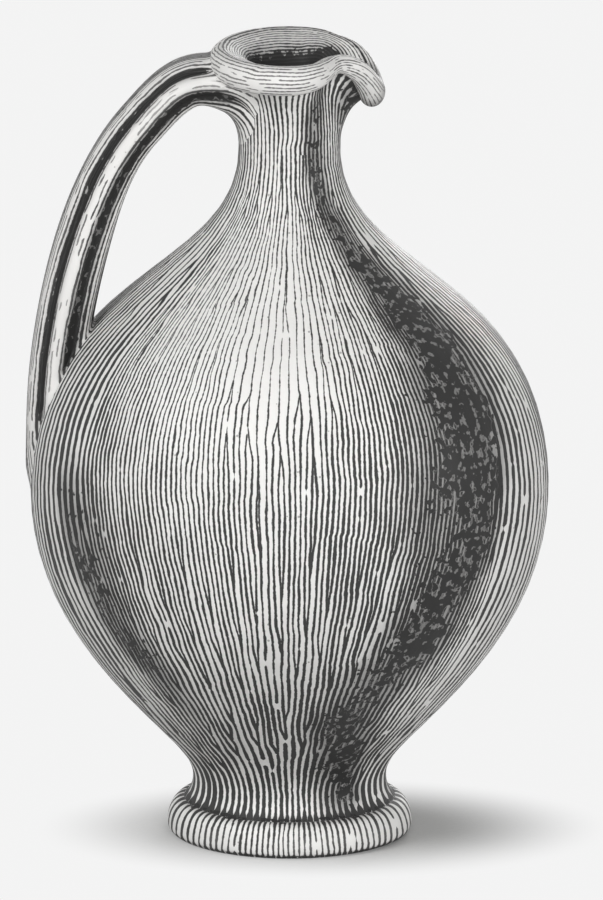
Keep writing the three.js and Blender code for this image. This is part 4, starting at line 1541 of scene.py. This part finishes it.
# Each lamp: name, azimuth, elevation, distance, size and level
LAMPS = (
    ("key_lamp", -58, 35, 1.4, 0.45, 0.48),
    ("front_lamp", 8, 10, 1.6, 0.8, 0.5),
    ("fill_lamp", 62, 10, 1.4, 0.6, 0.28),
    ("back_lamp", 165, 12, 1.4, 0.6, 0.3),
)
CAMERA_TARGET = (0.0036, 0, 0.1175)
CAMERA_ELEVATION = 14
CAMERA_DISTANCE = 4.5
CAMERA_LENS = 600
CAMERA_SENSOR = 36
CAMERA_CLIP_END = 50


def seen_directly(n):
    """1 for camera, glossy and transmission rays, so that they meet an even pale background."""
    path = n.tree.nodes.new("ShaderNodeLightPath")
    camera_or_glossy = n.math("MAXIMUM", path.outputs["Is Camera Ray"], path.outputs["Is Glossy Ray"])
    return n.math("MAXIMUM", camera_or_glossy, path.outputs["Is Transmission Ray"])


def floor():
    """A pale sheet that takes the jug's shadow near it and goes over to an even tone further off."""
    mesh = bpy.data.meshes.new("floor")
    half = FLOOR_HALF_WIDTH
    corners = [(-half, -half, 0), (half, -half, 0), (half, half, 0), (-half, half, 0)]
    mesh.from_pydata(corners, [], [(0, 1, 2, 3)])
    sheet = bpy.data.objects.new("floor", mesh)
    bpy.context.scene.collection.objects.link(sheet)
    material = bpy.data.materials.new("pale_floor")
    material.use_nodes = True
    mesh.materials.append(material)
    n = Nodes(material.node_tree)
    shader = material.node_tree.nodes["Principled BSDF"]
    point = n.add("ShaderNodeTexCoord", out="Object")
    beside = n.add("ShaderNodeVectorMath", {0: point, 1: SHADOW_MIDDLE}, operation="SUBTRACT")
    oval = n.add("ShaderNodeVectorMath", {0: beside, 1: SHADOW_SQUEEZE}, operation="MULTIPLY")
    far = n.add("ShaderNodeVectorMath", {0: oval}, out="Value", operation="LENGTH")
    even = n.math("MULTIPLY", n.smooth(far, SHADOW_NEAR, SHADOW_FAR), seen_directly(n))
    pale = n.mix(n.noise(point, FLOOR_SPECKLE_SCALE, 3.0), FLOOR_DARK, FLOOR_PALE)
    n.join(n.mix(seen_directly(n), FLOOR_BOUNCE, pale), shader.inputs["Base Color"])
    n.join(FLOOR_ROUGHNESS, shader.inputs["Roughness"])
    glow = n.add("ShaderNodeEmission", {"Color": WHITE, "Strength": BACKGROUND})
    both = n.add("ShaderNodeMixShader", {0: even, 1: shader.outputs["BSDF"], 2: glow})
    n.join(both, material.node_tree.nodes["Material Output"].inputs["Surface"])


def aim(name, data, target, azimuth, elevation, distance):
    """A lamp or camera at a distance from a target, turned to face it.

    An azimuth of 0 stands in front of the jug, and the elevation rises from the floor.
    """
    a, e = math.radians(azimuth), math.radians(elevation)
    back = Vector((math.sin(a) * math.cos(e), -math.cos(a) * math.cos(e), math.sin(e)))
    aimed = bpy.data.objects.new(name, data)
    aimed.location = Vector(target) + back * distance
    aimed.rotation_euler = (-back).to_track_quat("-Z", "Y").to_euler()
    bpy.context.scene.collection.objects.link(aimed)
    return aimed


def area_light(name, azimuth, elevation, distance, size, level):
    """A square lamp aimed at the jug's middle. A level of 1 shows a facing colour as it is written."""
    lamp = bpy.data.lights.new(name, "AREA")
    lamp.size = size
    lamp.energy = level * math.pi**2 * distance**2
    aim(name, lamp, LAMP_TARGET, azimuth, elevation, distance)


def studio_world(level):
    """Even soft light from all round at a level, behind a pale background."""
    world = bpy.data.worlds.new("studio")
    bpy.context.scene.world = world
    world.use_nodes = True
    n = Nodes(world.node_tree)
    light = world.node_tree.nodes["Background"]
    n.join(WHITE, light.inputs["Color"])
    n.join(level, light.inputs["Strength"])
    backdrop = n.add("ShaderNodeBackground", {"Color": WHITE, "Strength": BACKGROUND})
    both = n.add("ShaderNodeMixShader", {0: seen_directly(n), 1: light.outputs["Background"], 2: backdrop})
    n.join(both, world.node_tree.nodes["World Output"].inputs["Surface"])


def studio_camera():
    """A long lens in front of the jug and a little above it."""
    camera = bpy.data.cameras.new("camera")
    camera.lens = CAMERA_LENS
    camera.sensor_width = CAMERA_SENSOR
    camera.clip_end = CAMERA_CLIP_END
    return aim("camera", camera, CAMERA_TARGET, 0, CAMERA_ELEVATION, CAMERA_DISTANCE)


floor()
for lamp_settings in LAMPS:
    area_light(*lamp_settings)
studio_world(WORLD_LEVEL)
bpy.context.scene.camera = studio_camera()
bpy.context.scene.view_settings.view_transform = "Standard"
